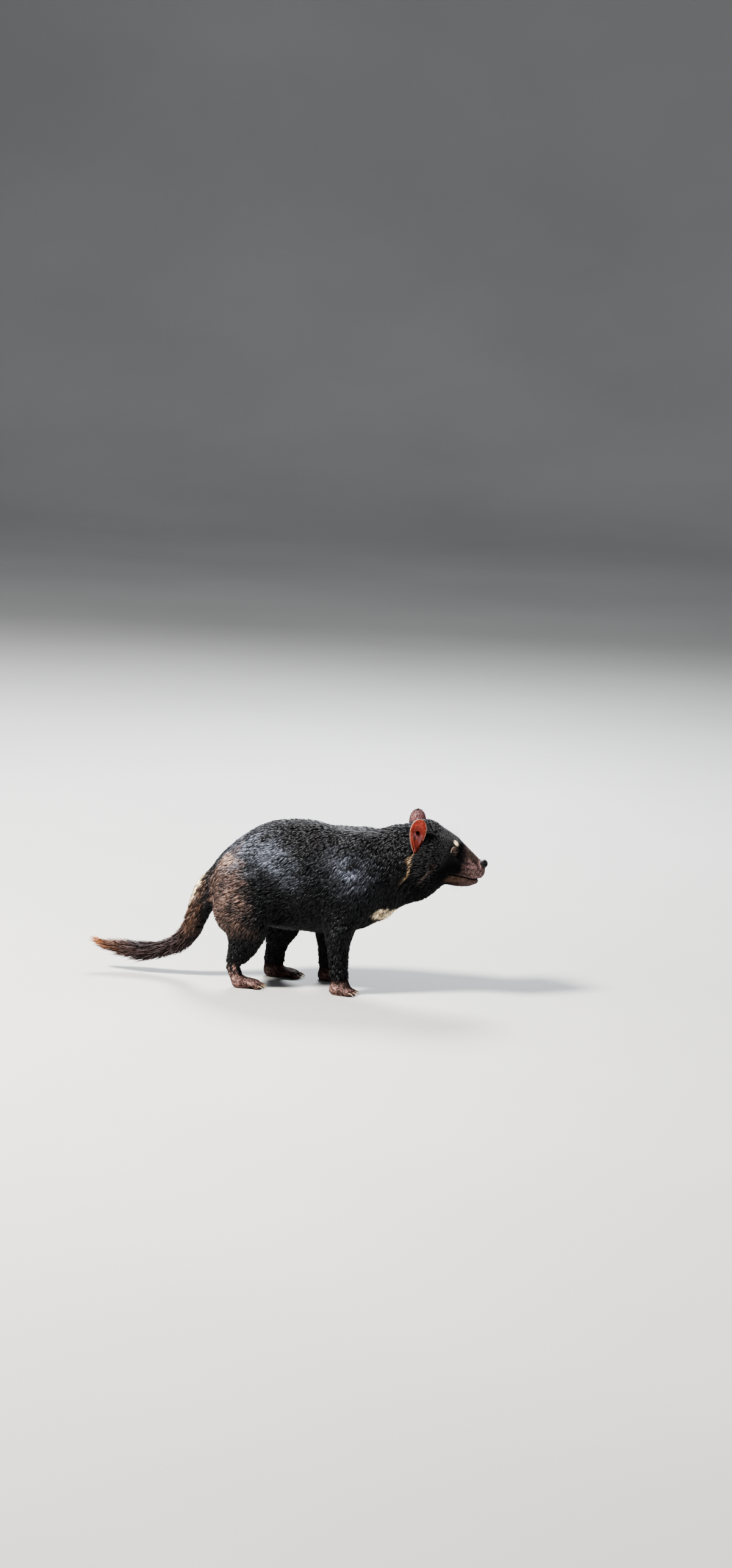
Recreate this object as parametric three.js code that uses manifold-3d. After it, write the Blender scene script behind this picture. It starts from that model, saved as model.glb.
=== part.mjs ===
// Tasmanian devil, standing, as a still life-size model of an adult male.
// Millimetres, +X towards the nose, +Y to the animal's left, +Z up. The body is first laid out with
// the floor at Z = 0 and then moved so that its box stands centred on the origin.
// The flesh is one smooth surface, swept through the sections below, and thin cuts part it.
import * as THREE from "three";
import { mergeVertices } from "three/addons/utils/BufferGeometryUtils.js";
import Module from "manifold-3d";

const wasm = await Module();
wasm.setup();

// Driving dimensions
const GAP = 0.3; // clear width of a parting cut
const MOUTH_GAP = 0.8; // clear width between the lips
const REACH = 900; // size of the blocks that do the cutting, larger than the animal
const GRAIN = { trunk: 21, neck: 16, thigh: 15, shank: 11, paw: 9, head: 11, muzzle: 6.8, tail: 10 };

// Sections of each sweep: centre x, y, z, then half width across the body and half depth
const TRUNK = [
  [-152, 0, 166, 28, 31],
  [-115, 0, 178, 50, 63],
  [-75, 0, 191, 67, 86],
  [-25, 0, 206, 79, 103],
  [30, 0, 210, 84, 106],
  [80, 0, 205, 82, 101],
  [122, 0, 211, 76, 94],
  [165, 0, 233, 66, 71],
  [200, 0, 246, 58, 68],
  [232, 0, 257, 48, 60],
];
const HEAD = [
  [214, 0, 252, 45, 62],
  [242, 0, 260, 54, 71],
  [264, 0, 261, 53, 66],
  [284, 0, 258, 46, 54],
  [300, 0, 252, 39, 46],
  [318, 0, 244, 31, 38],
  [335, 0, 243, 25, 35.5],
  [345, 0, 245.5, 20, 29],
  [352, 0, 248, 13, 18],
];
const TAIL = [
  [-146, 0, 178, 27, 26],
  [-163, 0, 152, 24, 26],
  [-177, 2, 118, 21, 22],
  [-189, 3, 88, 19.5, 21],
  [-208, 5, 65, 18, 19],
  [-240, 8, 48, 16, 17],
  [-264, 10, 43, 13, 13.5],
];
const TAIL_CORE = [
  [-250, 9, 45, 14, 14.5],
  [-264, 10, 43.5, 12.5, 12.5],
  [-281, 11, 43, 8.2, 8.2],
  [-305, 12, 43, 6.6, 6.6],
  [-330, 12.5, 44.5, 4.8, 4.8],
  [-350, 12, 47, 2.5, 2.5],
];
// The tuft: its middle line with the outer reach of the hair, and the locks that make it
const TUFT = [
  [-262, 10, 43.5, 13],
  [-290, 11.5, 43, 13.5],
  [-320, 12.5, 44, 14],
  [-345, 12.5, 45.5, 11.5],
  [-366, 11.5, 49, 7],
  [-387, 11, 54, 1],
];
const LOCKS = { rows: 4, around: 5, first: 0.02, last: 0.7, length: 0.36, wide: 6.4, thick: 1.7 };

// Forelegs, by the x of the wrist and how far the foot stands from the midline
const FORELEGS = {
  right: { side: -1, wrist: 108, shoulder: 112, out: 60 },
  left: { side: 1, wrist: 71, shoulder: 96, out: 57 },
};
const forelegSections = ({ side, wrist, shoulder, out }) => [
  [shoulder, side * (out - 14), 214, 22, 44],
  [(shoulder + wrist) / 2, side * (out - 7), 160, 25, 38],
  [wrist - 5, side * (out - 1), 118, 24, 29],
  [wrist - 5, side * out, 90, 20, 22.5],
  [wrist - 3, side * out, 60, 16.5, 19.5],
  [wrist, side * out, 28, 15, 16.5],
  [wrist + 3, side * (out + 1), 12, 17, 17],
];

// Hind legs: the right one is stretched back with its heel raised, the left one stands on its sole
const HIND_LEGS = {
  right: [
    [-84, -44, 198, 30, 50],
    [-84, -52, 150, 34, 55],
    [-73, -57, 112, 29, 45],
    [-76, -59, 84, 22, 33],
    [-84, -60, 64, 17, 25],
    [-93, -60, 45, 12.5, 14.5],
    [-90, -60, 27, 12, 12],
    [-82, -60, 13, 15, 11],
  ],
  left: [
    [-64, 44, 198, 30, 50],
    [-44, 52, 150, 33, 54],
    [-18, 57, 110, 26, 38],
    [-27, 58, 74, 20, 26],
    [-32, 58, 44, 14, 20],
    [-34, 58, 18, 14, 18],
  ],
};

// Feet: where the sole starts and where the toes end, and the toes' number, spread and size
const FEET = {
  fore_right: { side: -1, y: -61, heel: 100, ball: 116, toe: 136, wide: 18, toes: 5, spread: 15 },
  fore_left: { side: 1, y: 58, heel: 63, ball: 79, toe: 99, wide: 18, toes: 5, spread: 15 },
  hind_right: { side: -1, y: -60, heel: -83, ball: -62, toe: -39, wide: 16.5, toes: 4, spread: 9 },
  hind_left: { side: 1, y: 58, heel: -40, ball: -6, toe: 17, wide: 16.5, toes: 4, spread: 9 },
};
const SOLE_HEIGHT = 9;
const TOE_RADIUS = 4.8;
const CLAW = { length: 14, radius: 2, height: 6.4, drop: 4.4, rings: 3, sides: 5 };

// Head details
const HEAD_TURN = THREE.MathUtils.degToRad(7); // to the animal's left, about the nape
const NAPE_X = 200;
const EYE = { at: [303.5, 32, 278.3], radius: 8, look: [0.42, 0.9, 0.1] };
const LID = { radius: 7.6, thick: 2, long: 1.12, high: 0.95, out: 4.8 };
const NOSE = { at: [359, 0, 251], size: [11, 12, 9.5] };
const NOSTRIL = { at: [368, 5.6, 250], size: [4, 2.4, 2.8] };
const CONCHA = { at: [240, 50, 299], size: [9, 9, 13] }; // the hollow in front of each ear's root
const EAR = { root: [231, 53, 272], tip: [237, 58, 340], wide: 34, thick: 2.6, cup: 11 };

// A point of the head, turned with it
function turned([x, y, z]) {
  const c = Math.cos(HEAD_TURN);
  const s = Math.sin(HEAD_TURN);
  return new THREE.Vector3(NAPE_X + (x - NAPE_X) * c - y * s, (x - NAPE_X) * s + y * c, z);
}
const turnedWay = (way) =>
  new THREE.Vector3(...way).applyAxisAngle(new THREE.Vector3(0, 0, 1), HEAD_TURN).normalize();
const mirrored = ([x, y, z], side) => [x, side * y, z];

// Smooth curve through rows of numbers, with `parts` points between each two rows
function throughRows(rows, parts) {
  const out = [];
  const row = (i) => rows[Math.min(Math.max(i, 0), rows.length - 1)];
  for (let i = 0; i < rows.length - 1; i++)
    for (let k = 0; k < parts; k++) {
      const t = k / parts;
      out.push(
        rows[i].map((_, c) => {
          const [a, b, d, e] = [row(i - 1)[c], row(i)[c], row(i + 1)[c], row(i + 2)[c]];
          return b + 0.5 * t * (d - a + t * (2 * a - 5 * b + 4 * d - e + t * (3 * (b - d) + e - a)));
        }),
      );
    }
  out.push(rows.at(-1));
  return out;
}

// Sections with their own axes: tangent along the sweep, side across it and up in its depth
function framesOf(rows, sideWay = new THREE.Vector3(0, 1, 0)) {
  const points = rows.map(([x, y, z]) => new THREE.Vector3(x, y, z));
  return rows.map((r, i) => {
    const tangent = points[Math.min(i + 1, rows.length - 1)].clone();
    tangent.sub(points[Math.max(i - 1, 0)]).normalize();
    const up = new THREE.Vector3().crossVectors(tangent, sideWay).normalize();
    const side = new THREE.Vector3().crossVectors(up, tangent);
    return { centre: points[i], tangent, up, side, across: r[3], deep: r[4] };
  });
}

// Field of a sweep through elliptical sections: below 0 inside, roughly millimetres near its skin
function sweep(rows, soft, sideWay) {
  const frames = framesOf(throughRows(rows, 4), sideWay);
  const between = new THREE.Vector3();
  const box = new THREE.Box3();
  for (const f of frames) {
    const r = Math.max(f.across, f.deep);
    box.expandByPoint(f.centre.clone().addScalar(r));
    box.expandByPoint(f.centre.clone().addScalar(-r));
  }
  const legs = frames.slice(1).map((f, i) => {
    between.subVectors(f.centre, frames[i].centre);
    return { from: frames[i], to: f, way: between.clone(), squared: between.lengthSq() };
  });
  const value = (x, y, z) => {
    let best = Infinity;
    let leg = null;
    let share = 0;
    for (const s of legs) {
      const dx = x - s.from.centre.x;
      const dy = y - s.from.centre.y;
      const dz = z - s.from.centre.z;
      const t = Math.min(Math.max((dx * s.way.x + dy * s.way.y + dz * s.way.z) / s.squared, 0), 1);
      const d = (dx - t * s.way.x) ** 2 + (dy - t * s.way.y) ** 2 + (dz - t * s.way.z) ** 2;
      if (d < best) [best, leg, share] = [d, s, t];
    }
    const { from, to, way } = leg;
    const mix = (a, b) => a + (b - a) * share;
    const dx = x - from.centre.x - share * way.x;
    const dy = y - from.centre.y - share * way.y;
    const dz = z - from.centre.z - share * way.z;
    const along = (axis) =>
      dx * mix(from[axis].x, to[axis].x) +
      dy * mix(from[axis].y, to[axis].y) +
      dz * mix(from[axis].z, to[axis].z);
    const across = mix(from.across, to.across);
    const deep = mix(from.deep, to.deep);
    const least = Math.min(across, deep);
    const end = share === 0 || share === 1 ? along("tangent") / least : 0;
    return (Math.hypot(along("side") / across, along("up") / deep, end) - 1) * least;
  };
  return { value, box, soft };
}

// Field of an ellipsoid
function blob(centre, size, soft) {
  const [cx, cy, cz] = centre.toArray ? centre.toArray() : centre;
  const [rx, ry, rz] = size;
  const least = Math.min(...size);
  const middle = new THREE.Vector3(cx, cy, cz);
  const box = new THREE.Box3().setFromCenterAndSize(middle, new THREE.Vector3(...size).multiplyScalar(2));
  const value = (x, y, z) => (Math.hypot((x - cx) / rx, (y - cy) / ry, (z - cz) / rz) - 1) * least;
  return { value, box, soft };
}

// Joins two fields with a fillet of about `soft` millimetres
function meld(a, b, soft) {
  const h = Math.max(soft - Math.abs(a - b), 0) / soft;
  return Math.min(a, b) - (h * h * soft) / 4;
}
const together = (parts) => (x, y, z) =>
  parts.reduce((d, part) => meld(d, part.value(x, y, z), part.soft), Infinity);

const headWay = turnedWay([0, 1, 0]);
const turnedRows = (rows) => rows.map(([x, y, z, a, d]) => [...turned([x, y, z]), a, d]);
const bothSides = (make) => [-1, 1].map(make);

function headParts() {
  const upperLip = (s) =>
    turnedRows([
      [290, s * 35, 241, 5, 5],
      [316, s * 27, 236, 5, 5.5],
      [336, s * 20, 231, 5, 5.5],
      [348, s * 11, 229, 4.5, 5],
      [353, 0, 229.5, 4.5, 5],
    ]);
  const lowerLip = (s) =>
    turnedRows([
      [292, s * 32, 230, 4, 4],
      [316, s * 24, 224.5, 4.5, 4.5],
      [334, s * 16, 219.5, 4.5, 4.5],
      [343, s * 8, 217.5, 4.5, 4.5],
      [347, 0, 217.5, 4.5, 4.5],
    ]);
  return [
    sweep(turnedRows(HEAD), 22, headWay),
    ...bothSides((s) => blob(turned([256, s * 35, 247]), [40, 26, 36], 24)),
    ...bothSides((s) => blob(turned([301, s * 22, 289]), [13, 10, 9], 10)),
    ...bothSides((s) => blob(turned([334, s * 13, 238]), [20, 12, 13], 10)),
    ...bothSides((s) => sweep(upperLip(s), 4, headWay)),
    ...bothSides((s) => sweep(lowerLip(s), 4, headWay)),
  ];
}

// Toes fan out from the ball of the foot, each arching down to a pad on the floor
function toePaths({ y, ball, toe, wide, toes, spread }) {
  return Array.from({ length: toes }, (_, k) => {
    const lean = k - (toes - 1) / 2;
    const angle = THREE.MathUtils.degToRad(lean * spread);
    const reach = (toe - ball) * (1 - 0.07 * lean * lean);
    const fromY = y + (lean * 1.7 * wide) / toes;
    const at = (part, z, size) => [
      ball + reach * part * Math.cos(angle),
      fromY + reach * part * Math.sin(angle),
      z,
      TOE_RADIUS * size,
      TOE_RADIUS * size,
    ];
    return [at(-0.2, 9.5, 1), at(0.35, 9.6, 1.15), at(0.8, 5.8, 1.1), at(1, 4.8, 0.6)];
  });
}
function footParts({ y, heel, ball, wide }) {
  const sole = [
    [heel, y, SOLE_HEIGHT, wide * 0.78, 10],
    [(heel + ball) / 2, y, SOLE_HEIGHT, wide * 0.92, 10.5],
    [ball, y, SOLE_HEIGHT, wide, 9.5],
  ];
  return [sweep(sole, 8)];
}

const FLESH = [
  sweep(TRUNK, 24),
  ...headParts(),
  sweep(TAIL, 12),
  ...Object.values(FORELEGS).map((leg) => sweep(forelegSections(leg), 22)),
  ...Object.values(HIND_LEGS).map((rows) => sweep(rows, 20)),
  ...Object.values(FEET).flatMap(footParts),
  ...bothSides((s) => blob([128, s * 26, 276], [34, 30, 28], 28)), // shoulder blades
];

// Closed surface of the flesh inside a box, with one vertex for each cell that the skin crosses
function surface(parts, box, grain) {
  const near = parts.filter((part) => part.box.clone().expandByScalar(part.soft).intersectsBox(box));
  const field = together(near);
  const low = box.min;
  const count = box.getSize(new THREE.Vector3()).divideScalar(grain).ceil().addScalar(1);
  const [nx, ny, nz] = count.toArray();
  const place = (i, j, k) => (k * ny + j) * nx + i;
  const values = new Float32Array(nx * ny * nz).fill(grain);
  for (let k = 1; k < nz - 1; k++)
    for (let j = 1; j < ny - 1; j++)
      for (let i = 1; i < nx - 1; i++)
        values[place(i, j, k)] = field(low.x + i * grain, low.y + j * grain, low.z + k * grain);

  const corners = [0, 1, 2, 3, 4, 5, 6, 7].map((c) => [c & 1, (c >> 1) & 1, c >> 2]);
  const edges = corners.flatMap((a, i) =>
    corners.flatMap((b, j) => (j > i && a.filter((v, n) => v !== b[n]).length === 1 ? [[a, b]] : [])),
  );
  const vertexOf = new Int32Array(nx * ny * nz).fill(-1);
  const points = [];
  for (let k = 0; k < nz - 1; k++)
    for (let j = 0; j < ny - 1; j++)
      for (let i = 0; i < nx - 1; i++) {
        const sum = new THREE.Vector3();
        let crossings = 0;
        for (const [a, b] of edges) {
          const va = values[place(i + a[0], j + a[1], k + a[2])];
          const vb = values[place(i + b[0], j + b[1], k + b[2])];
          if (va < 0 === vb < 0) continue;
          const t = va / (va - vb);
          sum.x += i + a[0] + t * (b[0] - a[0]);
          sum.y += j + a[1] + t * (b[1] - a[1]);
          sum.z += k + a[2] + t * (b[2] - a[2]);
          crossings++;
        }
        if (!crossings) continue;
        vertexOf[place(i, j, k)] = points.length;
        points.push(sum.multiplyScalar(grain / crossings).add(low));
      }
  for (const p of points) settle(p, field, grain);

  const index = [];
  const addQuad = (a, b, c, d) =>
    points[a].distanceToSquared(points[c]) < points[b].distanceToSquared(points[d])
      ? index.push(a, b, c, a, c, d)
      : index.push(b, c, d, b, d, a);
  const strides = [place(1, 0, 0), place(0, 1, 0), place(0, 0, 1)];
  for (let k = 0; k < nz - 1; k++)
    for (let j = 0; j < ny - 1; j++)
      for (let i = 0; i < nx - 1; i++) {
        const here = place(i, j, k);
        for (let axis = 0; axis < 3; axis++) {
          const inside = values[here] < 0;
          if (inside === values[here + strides[axis]] < 0) continue;
          const [p, q] = [strides[(axis + 1) % 3], strides[(axis + 2) % 3]];
          const ring = [here, here - p, here - p - q, here - q].map((c) => vertexOf[c]);
          addQuad(...(inside ? ring : ring.reverse()));
        }
      }
  const flat = new Float32Array(points.flatMap((p) => [p.x, p.y, p.z]));
  return new THREE.BufferGeometry().setAttribute("position", new THREE.BufferAttribute(flat, 3)).setIndex(index);
}

// Moves a point that is near the skin onto it
function settle(p, field, grain) {
  const eps = 0.2;
  for (let round = 0; round < 3; round++) {
    const v = field(p.x, p.y, p.z);
    if (Math.abs(v) > grain) return;
    const slope = new THREE.Vector3(
      field(p.x + eps, p.y, p.z) - field(p.x - eps, p.y, p.z),
      field(p.x, p.y + eps, p.z) - field(p.x, p.y - eps, p.z),
      field(p.x, p.y, p.z + eps) - field(p.x, p.y, p.z - eps),
    ).divideScalar(2 * eps);
    const steep = Math.max(slope.lengthSq(), 0.1);
    p.addScaledVector(slope, -Math.min(Math.max(v / steep, -grain / 2), grain / 2));
  }
}

// Solids for joining and cutting
function solid(geometry) {
  const g = geometry.clone();
  g.deleteAttribute("normal");
  g.deleteAttribute("uv");
  const merged = mergeVertices(g, 1e-4);
  return new wasm.Manifold(
    new wasm.Mesh({
      numProp: 3,
      vertProperties: new Float32Array(merged.attributes.position.array),
      triVerts: new Uint32Array(merged.index.array),
    }),
  );
}
function largest(body) {
  const pieces = body.decompose();
  return pieces.reduce((a, b) => (b.volume() > a.volume() ? b : a));
}
function geometryOf(body) {
  const { numProp, numVert, vertProperties, triVerts } = body.getMesh();
  const flat = new Float32Array(numVert * 3);
  for (let i = 0; i < numVert; i++) flat.set(vertProperties.subarray(i * numProp, i * numProp + 3), i * 3);
  const g = new THREE.BufferGeometry().setAttribute("position", new THREE.BufferAttribute(flat, 3));
  g.setIndex(new THREE.BufferAttribute(triVerts, 1));
  g.computeVertexNormals();
  return g;
}

// All that lies past a plane, which is moved `shift` along its normal
function past(point, way, shift) {
  const normal = way.clone().normalize();
  const block = new THREE.BoxGeometry(REACH, REACH, REACH).translate(0, 0, REACH / 2);
  block.applyQuaternion(new THREE.Quaternion().setFromUnitVectors(new THREE.Vector3(0, 0, 1), normal));
  block.translate(...point.clone().addScaledVector(normal, shift));
  return solid(block);
}
const plane = (point, way) => ({
  point: new THREE.Vector3(...point),
  way: new THREE.Vector3(...way),
});
const turnedPlane = (point, way) => ({ point: turned(point), way: turnedWay(way) });
const ahead = ({ point, way }, gap = GAP) => past(point, way, gap / 2);
const behind = ({ point, way }, gap = GAP) => past(point, way.clone().negate(), gap / 2);

// Where the body is parted
const CUTS = {
  floor: plane([0, 0, 0], [0, 0, 1]),
  nape: turnedPlane([221, 0, 258], [0.972, 0, 0.235]),
  chest: plane([150, 0, 220], [0.974, 0, 0.225]),
  snout: turnedPlane([322, 0, 250], [1, 0, 0]),
  mouth: turnedPlane([320, 0, 229.5], [0.206, 0, 0.979]),
  mouthCorner: turnedPlane([291, 0, 235], [0.87, 0, -0.49]),
  rump: plane([-171, 0, 128], [-0.764, 0, -0.645]),
  tailBend: plane([-209, 0, 64], [-0.76, 0, -0.65]),
  tailTuft: plane([-258, 0, 44], [-0.99, 0, -0.12]),
  behindHips: plane([-126, 0, 100], [-1, 0, 0]),
};
const LEG_CUTS = {
  fore_right: { groin: 20, hip: 80, rear: 56, front: 152, upper: plane([104, 0, 101], [0, 0, 1]), lower: 26 },
  fore_left: { groin: 20, hip: 80, rear: 34, front: 132, upper: plane([68, 0, 101], [0, 0, 1]), lower: 26 },
  hind_right: { groin: 20, hip: 80, rear: -190, front: -12, upper: plane([-70, 0, 94], [0.3, 0, 0.95]), lower: 36 },
  hind_left: { groin: 20, hip: 80, rear: -165, front: 27, upper: plane([-20, 0, 93], [0.15, 0, 0.99]), lower: 30 },
};
const LEG_PART = { belly: 100, hip: 232 }; // heights between which a leg's cut slants outwards

// A block with an arched top that takes one leg out of the body, its inner face slanting from groin to hip
function legBlock(name, grow) {
  const { groin, hip, rear, front } = LEG_CUTS[name];
  const side = name.endsWith("right") ? -1 : 1;
  const up = new THREE.Vector3(0, side * (hip - groin), LEG_PART.hip - LEG_PART.belly);
  const height = up.length();
  const radius = (front - rear) / 2;
  const arch = Math.min(radius, 62);
  const outline = new THREE.Shape()
    .moveTo(rear - grow, -REACH / 2)
    .lineTo(front + grow, -REACH / 2)
    .lineTo(front + grow, height - arch)
    .absellipse((rear + front) / 2, height - arch, radius + grow, arch + grow, 0, Math.PI, false, 0);
  const block = new THREE.ExtrudeGeometry(outline, { depth: REACH / 2, bevelEnabled: false, curveSegments: 14 });
  block.translate(0, 0, side < 0 ? -grow : grow - REACH / 2);
  const along = new THREE.Vector3(1, 0, 0);
  const axes = new THREE.Matrix4().makeBasis(along, up.normalize(), new THREE.Vector3().crossVectors(along, up));
  block.applyMatrix4(axes.setPosition(0, side * groin, LEG_PART.belly));
  return solid(block);
}

const boxOf = (low, high) => new THREE.Box3(new THREE.Vector3(...low), new THREE.Vector3(...high));
const fleshIn = (low, high, grain) => solid(surface(FLESH, boxOf(low, high), grain));
const intersect = (...bodies) => bodies.reduce((a, b) => a.intersect(b));

const nodes = {};

function makeTrunk() {
  const legs = Object.keys(LEG_CUTS).map((name) => legBlock(name, GAP));
  const body = fleshIn([-215, -125, 70], [205, 125, 350], GRAIN.trunk);
  const middle = intersect(body, behind(CUTS.chest), behind(CUTS.rump));
  nodes.torso = legs.reduce((a, b) => a.subtract(b), middle);
  const neck = fleshIn([95, -100, 90], [275, 115, 370], GRAIN.neck);
  nodes.neck = intersect(neck, ahead(CUTS.chest), behind(CUTS.nape));
}

function makeLegs() {
  const boxes = {
    fore_right: [30, -110, 185, 5],
    fore_left: [0, -5, 165, 110],
    hind_right: [-170, -120, 15, 5],
    hind_left: [-150, -5, 60, 120],
  };
  const names = { fore: ["shoulder", "forearm", "forepaw"], hind: ["thigh", "shank", "hind_foot"] };
  for (const [name, { upper, lower }] of Object.entries(LEG_CUTS)) {
    const [x0, y0, x1, y1] = boxes[name];
    const [kind, side] = name.split("_");
    const [top, middle, bottom] = names[kind].map((part) => `${part}_${side}`);
    const ankle = plane([0, 0, lower], [0, 0, 1]);
    const block = legBlock(name, 0);
    nodes[top] = intersect(
      fleshIn([x0, y0, 78], [x1, y1, 262], GRAIN.thigh),
      block,
      ahead(upper),
      behind(CUTS.chest),
      behind(CUTS.rump),
    );
    nodes[middle] = intersect(
      fleshIn([x0, y0, 10], [x1, y1, 135], GRAIN.shank),
      block,
      behind(upper),
      ahead(ankle),
      behind(CUTS.chest),
    );
    const foot = FEET[name];
    const low = [foot.heel - 45, foot.y - 42, -18];
    const paw = fleshIn(low, [foot.ball + 40, foot.y + 42, 50], GRAIN.paw).intersect(behind(ankle));
    const toes = toePaths(foot).flatMap((path) => [toe(path), claw(path)]);
    nodes[bottom] = wasm.Manifold.union([paw, ...toes]).intersect(ahead(CUTS.floor, 0));
  }
}

function toe(path) {
  const rings = framesOf(path).map(({ centre, side, up, across, deep }) => ({
    centre,
    a: side.clone().multiplyScalar(across),
    b: up.clone().multiplyScalar(deep),
  }));
  return ringBody(rings, 6);
}

// Ring after ring of points joined into one closed body, each ring given by its centre and two half axes
function ringBody(rings, sides) {
  const points = [];
  for (const { centre, a, b } of rings)
    for (let i = 0; i < sides; i++) {
      const angle = (2 * Math.PI * i) / sides;
      points.push(centre.clone().addScaledVector(a, Math.cos(angle)).addScaledVector(b, Math.sin(angle)));
    }
  const index = [];
  for (let r = 0; r < rings.length - 1; r++)
    for (let i = 0; i < sides; i++) {
      const [p, q] = [r * sides + i, r * sides + ((i + 1) % sides)];
      index.push(p, q, q + sides, p, q + sides, p + sides);
    }
  const last = (rings.length - 1) * sides;
  for (let i = 1; i < sides - 1; i++) index.push(0, i + 1, i, last, last + i, last + i + 1);
  const flat = new Float32Array(points.flatMap((p) => [p.x, p.y, p.z]));
  return solid(
    new THREE.BufferGeometry().setAttribute("position", new THREE.BufferAttribute(flat, 3)).setIndex(index),
  );
}

// A claw leaves the end of its toe and curves down to just above the floor
function claw(path) {
  const [from, tip] = path.slice(-2).map(([x, y, z]) => new THREE.Vector3(x, y, z));
  const way = tip.clone().sub(from).setZ(0).normalize();
  const across = new THREE.Vector3(-way.y, way.x, 0);
  const rings = Array.from({ length: CLAW.rings }, (_, k) => {
    const t = k / (CLAW.rings - 1);
    const radius = CLAW.radius * (1 - 0.8 * t);
    const steep = new THREE.Vector3(0, 0, 1).addScaledVector(way, 0.8 * t).normalize();
    const centre = from.clone().addScaledVector(way, 2 + CLAW.length * t);
    centre.z = CLAW.height - CLAW.drop * t * t;
    return { centre, a: across.clone().multiplyScalar(radius), b: steep.multiplyScalar(radius) };
  });
  return ringBody(rings, CLAW.sides);
}

function makeHead() {
  const skull = fleshIn([175, -85, 165], [345, 115, 360], GRAIN.head);
  const snout = fleshIn([265, -55, 190], [385, 90, 310], GRAIN.muzzle);
  const jawBlock = (gap, cornerGap) =>
    behind(CUTS.mouth, gap).intersect(past(CUTS.mouthCorner.point, CUTS.mouthCorner.way, cornerGap));
  const eyes = { right: eyeBall(-1, 0), left: eyeBall(1, 0) };
  const sockets = bothSides((s) => eyeBall(s, GAP));
  const nose = noseBody(0);
  const conchas = bothSides((s) => ellipsoid(turned(mirrored(CONCHA.at, s)), CONCHA.size, 0, 6));
  nodes.head = [...sockets, ...conchas, jawBlock(-MOUTH_GAP, 0)].reduce(
    (a, b) => a.subtract(b),
    wasm.Manifold.union([intersect(skull, ahead(CUTS.nape), behind(CUTS.snout)), lidRing(-1), lidRing(1)]),
  );
  nodes.muzzle = intersect(snout, ahead(CUTS.snout), ahead(CUTS.mouth, MOUTH_GAP)).subtract(noseBody(GAP));
  nodes.jaw = snout.intersect(jawBlock(MOUTH_GAP, GAP)).subtract(noseBody(GAP));
  const nostrils = bothSides((s) => ellipsoid(turned(mirrored(NOSTRIL.at, s)), NOSTRIL.size, 0, 5));
  nodes.nose = nostrils.reduce((a, b) => a.subtract(b), nose);
  nodes.eye_right = eyes.right;
  nodes.eye_left = eyes.left;
  const clear = solid(raisedBy(surface(FLESH, boxOf([175, -85, 165], [345, 115, 360]), GRAIN.head), GAP));
  nodes.ear_right = earShell(-1).subtract(clear);
  nodes.ear_left = earShell(1).subtract(clear);
}

function ellipsoid(centre, size, grow, segments) {
  const ball = new THREE.SphereGeometry(1, segments * 2, segments);
  ball.scale(...size.map((s) => s + grow));
  return solid(ball.translate(...centre));
}
const eyeBall = (side, grow) =>
  ellipsoid(turned(mirrored(EYE.at, side)), [EYE.radius, EYE.radius, EYE.radius], grow, 7);
const noseBody = (grow) => ellipsoid(turned(NOSE.at), NOSE.size, grow, 7);

// The rim of both lids, a flattened ring round the eye
function lidRing(side) {
  const look = turnedWay(mirrored(EYE.look, side));
  const ring = new THREE.TorusGeometry(LID.radius, LID.thick, 5, 16).scale(LID.long, LID.high, 1);
  const up = new THREE.Vector3(0, 0, 1).addScaledVector(look, -look.z).normalize();
  const axes = new THREE.Matrix4().makeBasis(new THREE.Vector3().crossVectors(up, look), up, look);
  const centre = turned(mirrored(EYE.at, side)).addScaledVector(look, LID.out);
  return solid(ring.applyMatrix4(axes.setPosition(centre)));
}

// The same surface, every vertex moved outwards
function raisedBy(geometry, distance) {
  geometry.computeVertexNormals();
  const { position, normal } = geometry.attributes;
  for (let i = 0; i < position.count; i++)
    position.setXYZ(
      i,
      position.getX(i) + normal.getX(i) * distance,
      position.getY(i) + normal.getY(i) * distance,
      position.getZ(i) + normal.getZ(i) * distance,
    );
  return geometry;
}

// The cup of an ear: a sheet that is hollow towards the front and side, rounded above, narrow at its root
function earShell(side) {
  const columns = 8;
  const rows = 9;
  const root = turned(mirrored(EAR.root, side));
  const tip = turned(mirrored(EAR.tip, side));
  const up = tip.clone().sub(root);
  const open = turnedWay(mirrored([0.45, 0.89, 0], side));
  open.addScaledVector(up.clone().normalize(), -open.dot(up.clone().normalize())).normalize();
  const across = new THREE.Vector3().crossVectors(up, open).normalize();
  const front = [];
  const back = [];
  for (let r = 0; r <= rows; r++) {
    const v = Math.sin(((Math.PI / 2) * r) / rows);
    const reach = 1 + (EAR.wide / 2 - 1) * Math.max(Math.sin(Math.PI * v ** 1.35), 0) ** 0.5;
    const cup = EAR.cup * Math.sin(Math.PI * (0.12 + 0.88 * (1 - v)));
    for (let c = 0; c <= columns; c++) {
      const u = (2 * c) / columns - 1;
      const p = root.clone().addScaledVector(up, v).addScaledVector(across, u * reach);
      p.addScaledVector(open, cup * (u * u - 1));
      const slope = across.clone().multiplyScalar(reach).addScaledVector(open, 2 * cup * u);
      const outward = new THREE.Vector3().crossVectors(slope, up).normalize();
      if (outward.dot(open) < 0) outward.negate();
      front.push(p);
      back.push(p.clone().addScaledVector(outward, -EAR.thick));
    }
  }
  return sheetBody(front, back, columns, rows);
}

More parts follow.
